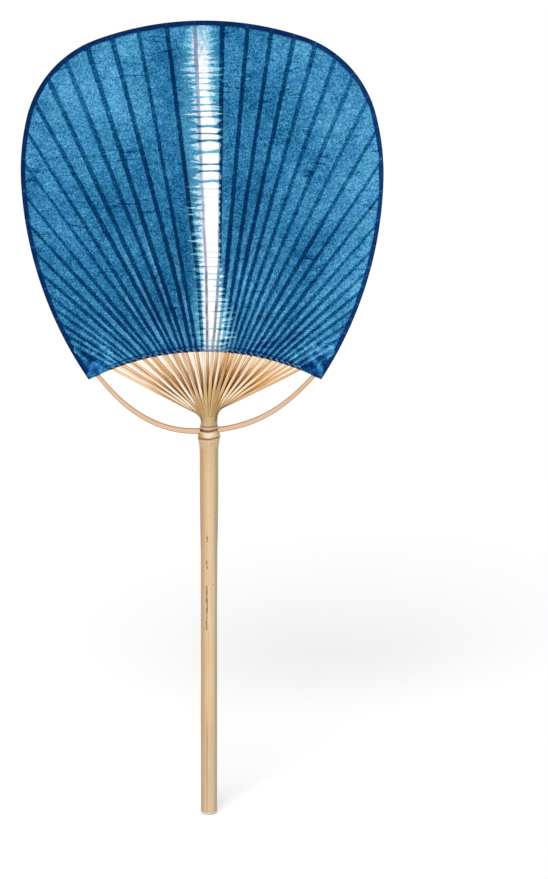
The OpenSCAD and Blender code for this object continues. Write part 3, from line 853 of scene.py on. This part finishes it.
def fold_tree():
    """A strip folded over the rim: two flanges of the rim's own width, standing off it on both faces."""
    tree = Sweep("fold_along_rim", "Rim", (
        ("Section Points", "NodeSocketInt", 36), ("Thickness", "NodeSocketFloat", EDGING_T * MM),
        ("Standing", "NodeSocketFloat", (ON_RIBS + EDGING_GAP) * MM)))
    count, thick = tree.given("Section Points"), tree.given("Thickness")

    # The section runs along the outside from the front's free edge to the back's, then returns inside
    index, half = tree.value("GeometryNodeInputIndex"), count / 2
    inside = index.above(half - 0.5)
    across = ((index - inside * half) * 2 / (half - 1) - 1) * (1 - inside * 2)
    across = across.sign() * across.size() ** FOLD_GATHER
    section = tree.vector(across, inside)
    swept = tree.swept(tree.kept(tree.circle(count), "section", section, "FLOAT_VECTOR"))

    across, inside, _ = tree.axes(tree.named("section", "FLOAT_VECTOR"))
    face = (across / FOLD_SHARE).most(-1).least(1)
    share = (across.size() - FOLD_SHARE).most(0) / (1 - FOLD_SHARE)
    into = (share * tree.named("width")).most(thick * inside)
    lift = tree.given("Standing") + thick * (1 - inside)
    lift = lift - tree.named("dip") * share.rise(0, 0.625) + tree.named("pucker") * share.rise(0, 0.5)
    swept = tree.kept(swept, "fold", (1 - share * 4).most(0))
    return tree.finished(swept, (tree.named("inward", "FLOAT_VECTOR"), into), ((0, 1, 0), lift * face))


STRIP_TREE = strip_tree()
FOLD_TREE = fold_tree()


def grow(name, rails, tree, sizes, material, sharp):
    """Run a tree on a mesh of rails and keep what it makes as a plain mesh."""
    rail = placed(name + "_rails", rails)
    sweep = rail.modifiers.new("sweep", "NODES")
    sweep.node_group = tree
    sockets = {s.name: s.identifier for s in tree.interface.items_tree if s.in_out == "INPUT"}
    for label, value in dict(sizes, Finish=material).items():
        sweep[sockets[label]] = value
    rail.update_tag()
    bpy.context.view_layer.update()
    shown = rail.evaluated_get(bpy.context.evaluated_depsgraph_get())
    made = bpy.data.meshes.new_from_object(shown)
    rail.modifiers.clear()
    bpy.data.objects.remove(rail)
    made.name = name
    return placed(name, tidy(made, sharp), material)


class Rails:
    """Lines that strips or cords follow, with the values of each point."""

    def __init__(self):
        self.points, self.edges, self.values = [], [], {}

    def add(self, middle, across, facing, **values):
        first, count = len(self.points), len(middle)
        self.points += list(middle)
        self.edges += [(first + k, first + k + 1) for k in range(count - 1)]
        for key, value in dict(middle=middle, across=across, facing=facing).items():
            self.values.setdefault(key, []).append(value * MM)
        for key, value in values.items():
            self.values.setdefault(key, []).append(np.broadcast_to(value, count))

    def piece(self, name, material, sides, lobes=0, lobe_depth=0.0):
        values = {key: np.concatenate(blocks) for key, blocks in self.values.items()}
        rails = build_mesh(name + "_rails", self.points, values, self.edges)
        sizes = {"Sides": sides, "Lobes": lobes, "Lobe Depth": lobe_depth}
        return grow(name, rails, STRIP_TREE, sizes, material, 50)


# Ribs

def rib_line(i):
    """Middle line of rib i, as its points and the distance along it of each."""
    lean = math.sin(rib_angle(i))
    knee_r = 1.0 if abs(lean) < 0.05 else min(7.0, max(1.0, (wall_spot(i)[0] - rib_side(i, 0.0)) / lean))
    out_r = knee_r + 4

    def at(r):
        return raised(rib_flat_point(i, np.asarray(r)), rib_y(i, r))

    k = np.linspace(0, 1, 10)[:, None]
    start = np.array([*wall_spot(i), SPLIT_Z])
    bend = (1 - k) ** 2 * start + 2 * k * (1 - k) * at(knee_r) + k * k * at(out_r)
    rest = np.concatenate([np.arange(out_r + 1.2, RIB_HEM_R[i] + 8, 2.0),
                           np.linspace(RIB_HEM_R[i] + 9, RIB_END_R[i] - 1, 14)])
    return np.concatenate([bend, at(rest)]), np.concatenate([k[:, 0] * out_r, rest])


def rib_width(i, r):
    if from_flank(i):
        foot = mix(CULM_WALL, RIB_W, rise(r, 0, WIDTH_END_R))
    else:
        # Neighbours on the same face still touch where the culm has only just been split
        other = i + 2 if i + 2 < RIB_COUNT else i - 2
        apart = np.linalg.norm(rib_flat_point(other, r) - rib_flat_point(i, r), axis=-1)
        foot = np.minimum(RIB_W + 0.2 * rise(r, 22, 12), np.maximum(WALL_PITCH, 1.03 * apart))
    tip = mix(RIB_W, RIB_TIP_W, (r - RIB_FLAT_R[i]) / (RIB_END_R[i] - RIB_FLAT_R[i]))
    return np.where(r > RIB_FLAT_R[i], tip, foot)


def rib_thick(i, r):
    if from_flank(i):
        return mix(WALL_PITCH, RIB_T, rise(r, RIB_FLAT_R[i] / 2, RIB_FLAT_R[i]))
    return mix(CULM_WALL, RIB_T, rise(r, 0, THICK_END_R))


def make_ribs(material):
    rails = Rails()
    for i in RIBS:
        middle, r = rib_line(i)
        way = unit(np.gradient(middle, axis=0))
        flat = unit(np.stack([way[:, 2], 0 * r, -way[:, 0]], -1))
        start = math.degrees(wall_angle(i))
        start = (180 - start if start > 90 else -start) if from_flank(i) else 90 - start
        own_turn = hand_value(i, 3, -5, 5) * rise(r, 0, 30) * rise(r, RIB_HEM_R[i], RIB_HEM_R[i] - 6)
        twist = np.radians(-rib_face(i) * start * np.maximum(0, 1 - r / TWIST_END_R) + own_turn)[:, None]
        across = np.cos(twist) * flat + np.sin(twist) * np.array([0, 1, 0])
        facing = unit(np.cross(across, way))
        width = rib_width(i, r) * (1 + 0.05 * ripple(r, 7 * i, 9, 11))
        in_window = rise(r, 8, 18) * rise(r, RIB_HEM_R[i], RIB_HEM_R[i] - 4)
        middle = middle + flat * (0.10 * ripple(r, 3 * i, 14, 12) * in_window)[:, None]
        rails.add(middle, across * (width / 2)[:, None], facing * (rib_thick(i, r) / 2)[:, None],
                  soft=mix(0.22, 0.5, rise(r, 0, 12)), along=r, tone=hand_value(i, 4),
                  lean=hand_value(i, 5, -0.5, 0.5), face=float(np.sign(facing[0, :2] @ wall_spot(i))))
    return rails.piece("ribs", material, sides=12)


# Bow

def make_bow(material):
    x = np.linspace(BOW_ENDS[0], BOW_ENDS[1], 150)
    middle = np.stack([x, 0 * x, bow_height(x)], -1)
    way = unit(np.gradient(middle, axis=0))
    up = np.stack([-way[:, 2], 0 * x, way[:, 0]], -1)
    depth = bow_depth(x) * (1 + 0.025 * ripple(x, 0, 11, 21))
    free = rise(np.abs(x), 7, 15) * rise(np.abs(x), 56, 50)
    middle = middle + up * (0.12 * ripple(x, 5, 17, 22) * free)[:, None]
    rails = Rails()
    rails.add(middle, up * (depth / 2)[:, None], [0, 1, 0] * (bow_thick(x) / 2)[:, None],
              soft=0.62, along=x)
    return rails.piece("bow_bent", material, sides=20)


# Woven thread and ties

def tie_spot(side):
    """Where the thread's circle crosses the bow on one side, as x and z."""
    x = BOW_ENDS[side] * 0.75
    while bow_hem_r(x) < THREAD_PATH_R:
        x += 0.02 * np.sign(BOW_ENDS[side])
    return np.array([x, bow_height(x)])


def hem_heading(p):
    """Angle from straight up at which points are seen from the hem's centre."""
    d = np.asarray(p) - HEM_CENTRE
    return np.arctan2(d[..., 0], d[..., 1])


TIES = [tie_spot(0), tie_spot(1)]
RIB_CROSSING = [float(hem_heading(rib_flat_point(i, rib_at_circle(i, THREAD_PATH_R)))) for i in RIBS]


def strand_path(face):
    """Points of one strand: over and under the ribs in turn, and across the other strand between them."""
    over, drop = RIB_T / 2 + THREAD_R + THREAD_GAP, THREAD_R + THREAD_GAP
    clear = (BOW_TIP_W / 2 + 0.45) / THREAD_PATH_R

    def spot(angle, r, y):
        return raised(HEM_CENTRE + r * upward(angle), y)

    points = [spot(hem_heading(TIES[0]) + clear, THREAD_PATH_R, face * 0.3)]
    for i, here in enumerate(RIB_CROSSING):
        half = (RIB_W / 2 + 0.12) / math.cos(rib_angle(i) - here) / THREAD_PATH_R
        y = face * rib_face(i)
        points += [spot(here - half, THREAD_PATH_R, y * over), spot(here + half, THREAD_PATH_R, y * over)]
        if i < RIB_COUNT - 1:
            points.append(spot((here + RIB_CROSSING[i + 1]) / 2, THREAD_PATH_R - y * drop, 0))
    return np.array(points + [spot(hem_heading(TIES[1]) - clear, THREAD_PATH_R, face * 0.3)])


def curve_through(points, per_gap):
    """A smooth line through points, with several steps in each gap."""
    padded = np.concatenate([[2 * points[0] - points[1]], points, [2 * points[-1] - points[-2]]])
    s = (np.arange(per_gap) / per_gap)[:, None]
    out = []
    for k in range(1, len(padded) - 2):
        a, b, c, d = padded[k - 1:k + 3]
        once, twice = (c - a) * s, (2 * a - 5 * b + 4 * c - d) * s ** 2
        out.append(b + (once + twice + (3 * b - a - 3 * c + d) * s ** 3) / 2)
    return np.concatenate(out + [points[-1:]])


def cord(name, path, side_dirs, radius, material):
    """A two-ply cord: its section turns round the path once in each twist pitch."""
    way = unit(np.gradient(path, axis=0))
    u = unit(np.cross(side_dirs, way))
    v = np.cross(way, u)
    turn = (2 * math.pi * lengths(path) / TWIST_PITCH)[:, None]
    across, facing = np.cos(turn) * u + np.sin(turn) * v, np.cos(turn) * v - np.sin(turn) * u
    rails = Rails()
    rails.add(path, radius * across, radius * facing, soft=1.0)
    return rails.piece(name, material, sides=8, lobes=2, lobe_depth=0.12)


def make_thread(name, face, material):
    path = curve_through(strand_path(face), 5)
    return cord(name, path, path * [1, 0, 1] - raised(HEM_CENTRE, 0), THREAD_R * 0.92, material)


def make_tie(name, spot, material):
    """Turns of thread wound round the bow, squared off to its section."""
    x = spot[0]
    way = unit(np.array([0.1, 0, bow_height(x + 0.05) - bow_height(x - 0.05)]))
    up = np.array([-way[2], 0, way[0]])
    w, d = (size / 2 + THREAD_R + 0.03 for size in (bow_depth(x), bow_thick(x)))
    a = np.linspace(0, 2 * math.pi * TIE_TURNS, TIE_TURNS * 28)
    flat, deep = (np.sign(wave) * np.abs(wave) ** 0.6 for wave in (np.cos(a), np.sin(a)))
    along = (a / 2 / math.pi - TIE_TURNS / 2) * (2 * THREAD_R + THREAD_GAP)
    path = raised(spot, 0) + along[:, None] * way + (w * flat)[:, None] * up
    path += (d * deep)[:, None] * np.array([0, 1, 0])
    return cord(name, path, np.broadcast_to(way, path.shape), THREAD_R, material)


# Handle

# Heights from the node's ring and radii
CULM_PROFILE = [
    (-NODE_Z, GRIP_R), (-68, GRIP_R), (-54, (GRIP_R + GRIP_TOP_R) / 2), (-40, GRIP_TOP_R),
    (-9, GRIP_TOP_R + 0.05), (-7.2, GRIP_TOP_R + 0.12), (-5.2, NODE_R - 0.8), (-2.6, NODE_R - 0.3),
    (-1.6, NODE_R - 0.12), (-1.3, NODE_R - 0.3), (-0.9, NODE_R - 0.05), (0, NODE_R), (1, NODE_R - 0.2),
    (1.9, NODE_R - 0.75), (2.8, NECK_R + 0.5), (3.4, NECK_R + 0.75), (4.1, NECK_R + 0.45),
    (4.7, NECK_R + 0.68), (5.6, NECK_R + 0.25), (7, NECK_R), (12, NECK_R)]
CULM_TURNS = 160


def make_handle(material):
    theta = np.arange(CULM_TURNS) * 2 * math.pi / CULM_TURNS
    z = np.concatenate([np.linspace(0, 0.5, 4), np.arange(1.2, NODE_Z - 12, 1.6),
                        np.arange(NODE_Z - 12, NODE_Z - 6, 0.5),
                        np.arange(NODE_Z - 6, NODE_Z + 11.2, 0.11)])
    zz, tt = np.meshgrid(z, theta, indexing="ij")

    # The node's rings slant and waver a little, and the skin has long streaks and one shallow groove
    heights, radii = np.array(CULM_PROFILE).T
    near_node = np.exp(-((zz - NODE_Z - 1) / 5.5) ** 2)
    shift = near_node * (0.35 * np.sin(tt + 0.7) + 0.18 * np.sin(2 * tt + 2.1) + 0.10 * np.sin(5 * tt))
    spread = (-0.22, -0.11, 0, 0.11, 0.22)
    radius = sum(np.interp(zz - NODE_Z - shift + d, heights, radii) for d in spread) / len(spread)
    around = tt * GRIP_R
    radius += 0.05 * ripple(around, zz * 0.12, 2.4, 31) + 0.035 * ripple(around, zz * 0.03, 0.9, 32)
    radius += 0.05 * near_node * ripple(around, zz, 1.3, 33)
    groove = np.exp(-((np.cos(tt + math.pi / 2 + GROOVE_TURN) - 1) / 0.02) ** 2)
    groove = GROOVE_DEPTH * groove * rise(zz, 70, 30) * rise(zz, 0, 6)
    radius -= groove + FOOT_ROUND_R * np.maximum(1 - zz / FOOT_ROUND_Z, 0)
    points = np.stack([radius * np.cos(tt), radius * np.sin(tt), zz], -1)

    # Hole for the bow: the wall sinks in around the bow's line
    off_z = zz - bow_height(0.0) - BOW_TILT * points[..., 0]
    off = np.hypot(points[..., 1] / HOLE_HALF_W, off_z / HOLE_HALF_H)
    sink = HOLE_DEPTH * rise(off, 1.11, 0.95) * (np.abs(points[..., 0]) > 3)
    points[..., 0] -= np.sign(points[..., 0]) * sink

    # Rings of the bore below and above, so that the surface closes on itself
    def rings(*rows):
        return np.stack([[[r * math.cos(t), r * math.sin(t), h] for t in theta] for r, h in rows])

    inner = NECK_R - CULM_WALL
    foot = rings((0.001, HOLLOW_TOP_Z + 0.1), (BORE_R, HOLLOW_TOP_Z), (BORE_R, 0.0))
    top = rings((inner, z[-1] - 0.05), (inner, CUP_Z), (0.001, CUP_Z))
    wall = (tt / (2 * math.pi / RIB_COUNT)) % 1
    values = {"split_gap": np.pad(np.minimum(wall, 1 - wall), ((3, 3), (0, 0)), constant_values=1),
              "ring_shift": np.pad(shift, ((3, 3), (0, 0)))}
    points = np.concatenate([foot, points, top])
    index = np.arange(points.shape[0] * CULM_TURNS).reshape(-1, CULM_TURNS)
    after = np.roll(index, -1, 1)
    faces = np.stack([index[:-1], after[:-1], after[1:], index[1:]], -1).reshape(-1, 4).tolist()
    faces += [index[0].tolist(), index[-1][::-1].tolist()]
    mesh = build_mesh("handle_skin", points, values, faces=faces)
    return placed("handle_skin", tidy(mesh, 60), material)


# Cloth. The stripe's values at heights along it: where its core and its tongues end on both sides, how
# white it is, how strong the blue bands across it are, and the step from one tie to the next.

STRIPE_Z = [260.5, 264.4, 272.6, 283.6, 294.6, 305.6, 316.5, 324.7, 335.6, 346.5, 357.3, 370.8, 381.6,
            392.3, 405.7, 419, 427, 436]
STRIPE = {
    "left_base": [-3, -1.9, -1.6, -1.9, -2.2, -2.4, -2.5, -2.6, -2.6, -2.6, -2.8, -3.0, -3.7, -4.2, -5.2,
                  -6.4, -7.6, -8.4],
    "left_tip": [-6, -5.4, -6.6, -7.2, -7.8, -8.0, -9.2, -9.8, -10.4, -10.8, -12, -13.2, -14.0, -14.4,
                 -14.6, -14.2, -13.4, -12.8],
    "right_base": [7.1, 4.3, 3.2, 3.2, 3.9, 4.6, 4.9, 4.9, 4.9, 4.9, 5.2, 5.0, 2.4, -0.8, -2.0, -2.2,
                   -2.0, -1.6],
    "right_tip": [13, 13, 12.8, 11.4, 9, 7, 6.4, 6.2, 6.2, 6.2, 6.4, 6.6, 7.4, 7.4, 7.0, 5.4, 3.8, 3.0],
    "white_level": [0.52, 0.62, 0.85, 1, 1, 1, 1, 1, 1, 1, 1, 1, 1, 1, 0.93, 0.72, 0.5, 0.32],
    "tie_band": [0.3, 0.6, 0.5, 0.5, 0.4, 0.5, 0.3, 0.1, 0.1, 0.35, 0.9, 1.0, 1.0, 0.8, 0.6, 0.4, 0.3, 0.2]}
TIE_STEP = [2.6, 2.6, 3, 3, 3, 3.1, 3.4, 3.4, 3.6, 4.3, 5.1, 5.2, 4.6, 3.7, 3.3, 3.1, 2.9, 2.8]

# Ribs under the stripe that show more or less than chance would have it
RIB_TONES = {18: 0.75, 19: 1.5, 20: 0.9, 21: 0.8}

HEM_HEADINGS = [float(hem_heading(RIM.points[k])) for k in (0, -1)]
HEM_BAND_HALF = math.radians(21)
EDGE_COLUMNS = 20

# Distances from a rib of the columns beside it, and the shares of the pitch that they don't pass
NEAR_RIB = ((0.5, 0.17), (0.95, 0.30), (1.6, 0.41))


def stations(length):
    """Distances from the hem along a column of the given length, closer at both ends."""
    a, b = min(6.0, 0.3 * length), min(3.2, 0.15 * length)
    middle = np.linspace(a, length - b, 80)[1:-1]
    return np.concatenate([np.linspace(0, a, 15), middle, np.linspace(length - b, length, 8)])


def hem_point(angle):
    return HEM_CENTRE + HEM_R * upward(angle)


def off_line(p, line):
    """How far points lie to the right of a line of as many points."""
    way = unit(np.gradient(line, axis=0))
    return (p[:, 0] - line[:, 0]) * way[:, 1] - (p[:, 1] - line[:, 1]) * way[:, 0]


def cloth_columns():
    """Columns across the cloth from hem to rim, each as its points, its place counted in ribs, the pitch
    of the ribs there and the distances from the hem."""
    ribs = []
    for i in RIBS:
        s = stations(RIB_END_R[i] - RIB_HEM_R[i])
        p = rib_flat_point(i, RIB_HEM_R[i] + s)
        p[-1] = RIM.at(RIB_AT_RIM[i])
        ribs.append((p, s))
    hem_at = [float(hem_heading(p[0])) for p, s in ribs]

    def beyond_ribs(side):
        rib = (0, RIB_COUNT - 1)[side]
        for k in np.arange(EDGE_COLUMNS) / EDGE_COLUMNS:
            low = hem_point(mix(HEM_HEADINGS[side], hem_at[rib], k))
            high = RIM.at(mix((0.0, RIM.length)[side], RIB_AT_RIM[rib], k))
            s = stations(max(float(np.linalg.norm(high - low)), MM))
            p = low + (high - low) * (s / s[-1])[:, None]
            share = (1 - k) / 2
            yield p, rib + (-share, share)[side] + 0 * s, np.abs(off_line(p, ribs[rib][0])) / share, s

    columns = list(beyond_ribs(0))
    for i in RIBS[:-1]:
        (p0, s0), (p1, s1) = ribs[i:i + 2]
        pitch = np.linalg.norm(p1 - p0, axis=1)
        columns.append((p0, i + 0 * s0, pitch, s0))
        shares = [np.minimum(k / pitch, cap) for k, cap in NEAR_RIB]
        v = np.linspace(0, 1, len(s0))[:, None]
        for w in shares + [0.5 + 0 * s0] + [1 - w for w in shares[::-1]]:
            p = p0 + w[:, None] * (p1 - p0)
            low = hem_point(mix(hem_at[i], hem_at[i + 1], w[0]))
            high = RIM.at(mix(RIB_AT_RIM[i], RIB_AT_RIM[i + 1], w[-1]))
            p = p + (1 - v) * (low - p[0]) + v * (high - p[-1])
            columns.append((p, i + w, pitch, s0 + (s1 - s0) * w))
    columns.append((p1, RIBS[-1] + 0 * s1, pitch, s1))
    return columns + list(beyond_ribs(1))[::-1]


def bow_cover(x, z):
    """1 where the cloth lies on an end of the bow, 0 away from it."""
    slope = (bow_height(x + 0.1) - bow_height(x - 0.1)) / 0.2
    away = np.abs(z - bow_height(x)) / np.hypot(1, slope)
    beyond = np.maximum(np.maximum(BOW_ENDS[0] - x, x - BOW_ENDS[1]), 0)
    return rise(np.hypot(np.maximum(away - bow_depth(x) / 2, 0), beyond), 1.9, 0.3)


def cloth_height(flat, gap, hem_gap, near_rim, corner):
    """Height of the cloth's outer surface above the fan's middle plane, and its small folds."""
    x, z = flat[..., 0], flat[..., 1]
    wide, cover = np.abs(gap), bow_cover(x, z)
    dip = (CLOTH_DIP * rise(wide, 0.75, 4.35) + 0.10 * rise(wide, 0.6, 1.2)) * (1 - cover)
    over_thread = rise(hem_gap, 0, 0.9) * rise(hem_gap, 4.9, 3.1)
    height = ON_RIBS - dip * rise(hem_gap, 0, 9) - HEM_TUCK * rise(hem_gap, 0.8, 0)
    height += over_thread * (THREAD_BULGE + 0.34 * rise(wide, 1.2, 0.35) + 0.45 * cover)
    waver = 0.05 * ripple(x, z, 6.0, 41) + 0.03 * ripple(x, z, 2.2, 42)
    folds = ripple(x * 0.8 + z * 0.6, z * 0.3, 2.3, 43) + 0.6 * ripple(x * 0.5 - z * 0.9, x, 1.7, 44)
    height += (waver + corner * folds * 0.22) * rise(near_rim, 0.6, 2.6)
    height = mix(height, np.maximum(height, ON_RIBS), cover)
    for tie_x, tie_z in TIES:
        tie_top = bow_thick(tie_x) / 2 + 2 * THREAD_R + CLOTH_T + 0.12
        over_tie = rise(np.hypot(x - tie_x, z - tie_z), 3.8, 2.0)
        height = mix(height, np.maximum(height, tie_top), over_tie)
    return np.where(near_rim < 0.4, np.minimum(height, ON_RIBS), height), folds


def cloth_surface():
    """The cloth's grid as flat points and heights, with the values that its dye follows."""
    flat, count, pitch, hem_gap = (np.stack(part, 1) for part in zip(*cloth_columns()))
    nearest = np.clip(np.round(count), 0, RIB_COUNT - 1).astype(int)
    to_rim = hem_gap[-1:, :] - hem_gap
    corner = sum(rise(np.linalg.norm(flat - RIM.points[k], axis=-1), 28, 6) for k in (0, -1))
    height, folds = cloth_height(flat, (count - nearest) * pitch, hem_gap, to_rim, corner)

    # The cloth ends just inside the edging's fold
    inward = unit(np.concatenate([flat[:-1] - flat[1:], flat[-2:-1] - flat[-1:]]))
    flat = flat + inward * (EDGING_T * rise(to_rim, 1.5, 0))[..., None]
    z = flat[..., 1]
    phase_z = np.linspace(STRIPE_Z[0], STRIPE_Z[-1], 400)
    phase = np.concatenate([[0], np.cumsum(np.diff(phase_z) / np.interp(phase_z[1:], STRIPE_Z, TIE_STEP))])
    tones = np.array([RIB_TONES.get(i, hand_value(i, 6)) for i in RIBS])
    heading = hem_heading(flat)
    off_middle = np.abs(heading - sum(HEM_HEADINGS) / 2)
    values = {"rib_count": count, "rib_pitch": pitch, "rib_tone": tones[nearest], "hem_gap": hem_gap,
              "rim_gap": to_rim, "corner": corner, "crumple": np.clip(0.5 + folds * 0.42, 0, 1),
              "tie_phase": np.interp(z, phase_z, phase), "along_hem": heading * HEM_R,
              "band": rise(off_middle, HEM_BAND_HALF + math.radians(2.5), HEM_BAND_HALF),
              **{key: np.interp(z, STRIPE_Z, row) for key, row in STRIPE.items()}}
    return flat, height, values


CLOTH_SURFACE = cloth_surface()


def make_cloth(name, face, material):
    """One cloth as a closed sheet, with its area."""
    flat, height, values = CLOTH_SURFACE
    points = np.concatenate([raised(flat, face * height), raised(flat, face * (height - CLOTH_T))])
    index = np.arange(height.size).reshape(height.shape)
    back = index + height.size

    def quads(a):
        return np.stack([a[:-1, :-1], a[:-1, 1:], a[1:, 1:], a[1:, :-1]], -1).reshape(-1, 4)

    def wall(cut):
        line, other = index[cut], back[cut]
        return np.stack([line[:-1], line[1:], other[1:], other[:-1]], -1)

    rims = [wall(cut) for cut in (np.s_[0], np.s_[-1], np.s_[:, 0], np.s_[:, -1])]
    faces = np.concatenate([quads(index), quads(back)[:, ::-1], *rims]).tolist()
    mesh = build_mesh(name, points, {key: np.concatenate([v, v]) for key, v in values.items()}, faces=faces)
    area = sum(p.area for p in mesh.polygons) / 2
    return placed(name, tidy(mesh, 70, merge=0.002), material), area


# Edging folded over the rim

def make_edging(material):
    s = np.linspace(0.05, RIM.length - 0.05, 1500)
    way = RIM.heading(s)
    slant = np.array([abs(RIM.heading(at) @ [math.cos(rib_angle(i)), -math.sin(rib_angle(i))])
                      for i, at in enumerate(RIB_AT_RIM)])
    near = np.abs(s[:, None] - RIB_AT_RIM).argmin(1)
    rib_gap = (s - np.array(RIB_AT_RIM)[near]) * slant[near]
    pucker = 0.05 * ripple(s, 0, 1.1, 51) + 0.03 * ripple(s, 0, 0.5, 52)
    width = EDGING_W * (1 + 0.07 * ripple(s, 0, 7.0, 53) + 0.03 * ripple(s, 0, 1.5, 54))
    middle = raised(RIM.at(s), 0)
    values = {"middle": middle * MM, "inward": np.stack([way[:, 1], 0 * s, -way[:, 0]], -1),
              "width": width * MM, "dip": EDGING_DIP * rise(np.abs(rib_gap), 0.8, 3.8) * MM,
              "pucker": pucker * MM, "rib_gap": rib_gap}
    rails = build_mesh("edging_fold_rails", middle, values, [(k, k + 1) for k in range(len(s) - 1)])
    return grow("edging_fold", rails, FOLD_TREE, {}, material, 60)


# The fan

cloth_look = dyed_cloth()
thread_look = twisted_thread()
ribs = make_ribs(split_strip())
bow = make_bow(bow_strip())
handle = make_handle(culm_skin())
front_thread = make_thread("thread_front_twisted", -1, thread_look)
back_thread = make_thread("thread_back_twisted", 1, thread_look)
left_tie = make_tie("bow_tie_left_wound", TIES[0], thread_look)
right_tie = make_tie("bow_tie_right_wound", TIES[1], thread_look)
front_cloth, front_area = make_cloth("front_cloth_dyed", -1, cloth_look)
back_cloth, back_area = make_cloth("back_cloth_dyed", 1, cloth_look)
edging = make_edging(navy_edging())

rib_nodes = [f"rib_{i + 1:02d}" for i in RIBS]
stands_for = [(ribs, rib_nodes, "split_bamboo"), (bow, ["bow"], "split_bamboo"),
              (handle, ["bamboo_handle"], "bamboo"), (front_thread, ["thread_front"], "thread"),
              (back_thread, ["thread_back"], "thread"),
              (left_tie, ["bow_tie_left"], "thread"), (right_tie, ["bow_tie_right"], "thread"),
              (front_cloth, ["front_cloth"], "cloth"), (back_cloth, ["back_cloth"], "cloth"),
              (edging, ["rim_edging"], "edging")]
for piece, nodes, slot in stands_for:
    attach(piece, "root")
    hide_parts(*nodes)

for node, finish in (("end_coat", end_gesso()), ("handle_core", willow_wood())):
    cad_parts[node].data.materials.clear()
    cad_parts[node].data.materials.append(finish)


# Stage, light and camera, in metres

FLOOR_HALF = 60.0
FLOOR_Z = -0.00135
FLOOR_LIFT = 0.3
SKY = 0.55
SUN = 1.6
SUN_ANGLE = math.radians(28)
SUN_WAY = Vector((0.16, 0.80, -0.58))
CAMERA_AT = (0.03575, -1.5757, 0.4899)
CAMERA_DOWN = math.radians(10)
CAMERA_ROLL = math.radians(0.2257)
LENS, SENSOR = 119.14, 36


def camera_share(nodes):
    """1 for rays that the camera sees straight, in a reflection or through something clear."""
    path = nodes.node("ShaderNodeLightPath")
    kinds = ("Is Camera Ray", "Is Glossy Ray", "Is Transmission Ray")
    camera, glossy, clear = (Value(nodes, path.outputs[kind]) for kind in kinds)
    return camera.most(glossy).most(clear)


def make_stage():
    look = Look("pale_floor", 1.0, 0.0)
    look.shader.inputs["Base Color"].default_value = (0.86, 0.86, 0.86, 1)
    strength = camera_share(look) * FLOOR_LIFT
    glow = look.value("ShaderNodeEmission", {}, {"Color": (1, 1, 1, 1), "Strength": strength})
    both = look.node("ShaderNodeAddShader", {}, {0: look.shader.outputs[0], 1: glow})
    look.tree.links.new(both.outputs[0], look.end.inputs["Surface"])
    mesh = bpy.data.meshes.new("floor")
    corners = [(x * FLOOR_HALF, y * FLOOR_HALF, FLOOR_Z) for x, y in ((-1, -1), (1, -1), (1, 1), (-1, 1))]
    mesh.from_pydata(corners, [], [(0, 1, 2, 3)])
    placed("floor", mesh, look.material)


def make_light():
    world = bpy.data.worlds.new("studio")
    world.use_nodes = True
    bpy.context.scene.world = world
    background = world.node_tree.nodes["Background"]
    background.inputs["Color"].default_value = (1, 1, 1, 1)
    strength = camera_share(Nodes(world.node_tree)) * (1 - SKY) + SKY
    world.node_tree.links.new(strength.socket, background.inputs["Strength"])
    data = bpy.data.lights.new("key_light", "SUN")
    data.energy, data.angle = SUN, SUN_ANGLE
    placed("key_light", data).rotation_euler = SUN_WAY.to_track_quat("-Z", "Y").to_euler()


def make_camera():
    data = bpy.data.cameras.new("camera")
    data.sensor_width, data.lens = SENSOR, LENS
    data.clip_start, data.clip_end = 0.05, 200
    camera = placed("camera", data)
    turn = Matrix.Rotation(math.pi / 2 - CAMERA_DOWN, 4, "X") @ Matrix.Rotation(CAMERA_ROLL, 4, "Z")
    camera.matrix_world = Matrix.Translation(CAMERA_AT) @ turn
    bpy.context.scene.camera = camera


make_stage()
make_light()
make_camera()
bpy.context.scene.view_settings.view_transform = "Standard"
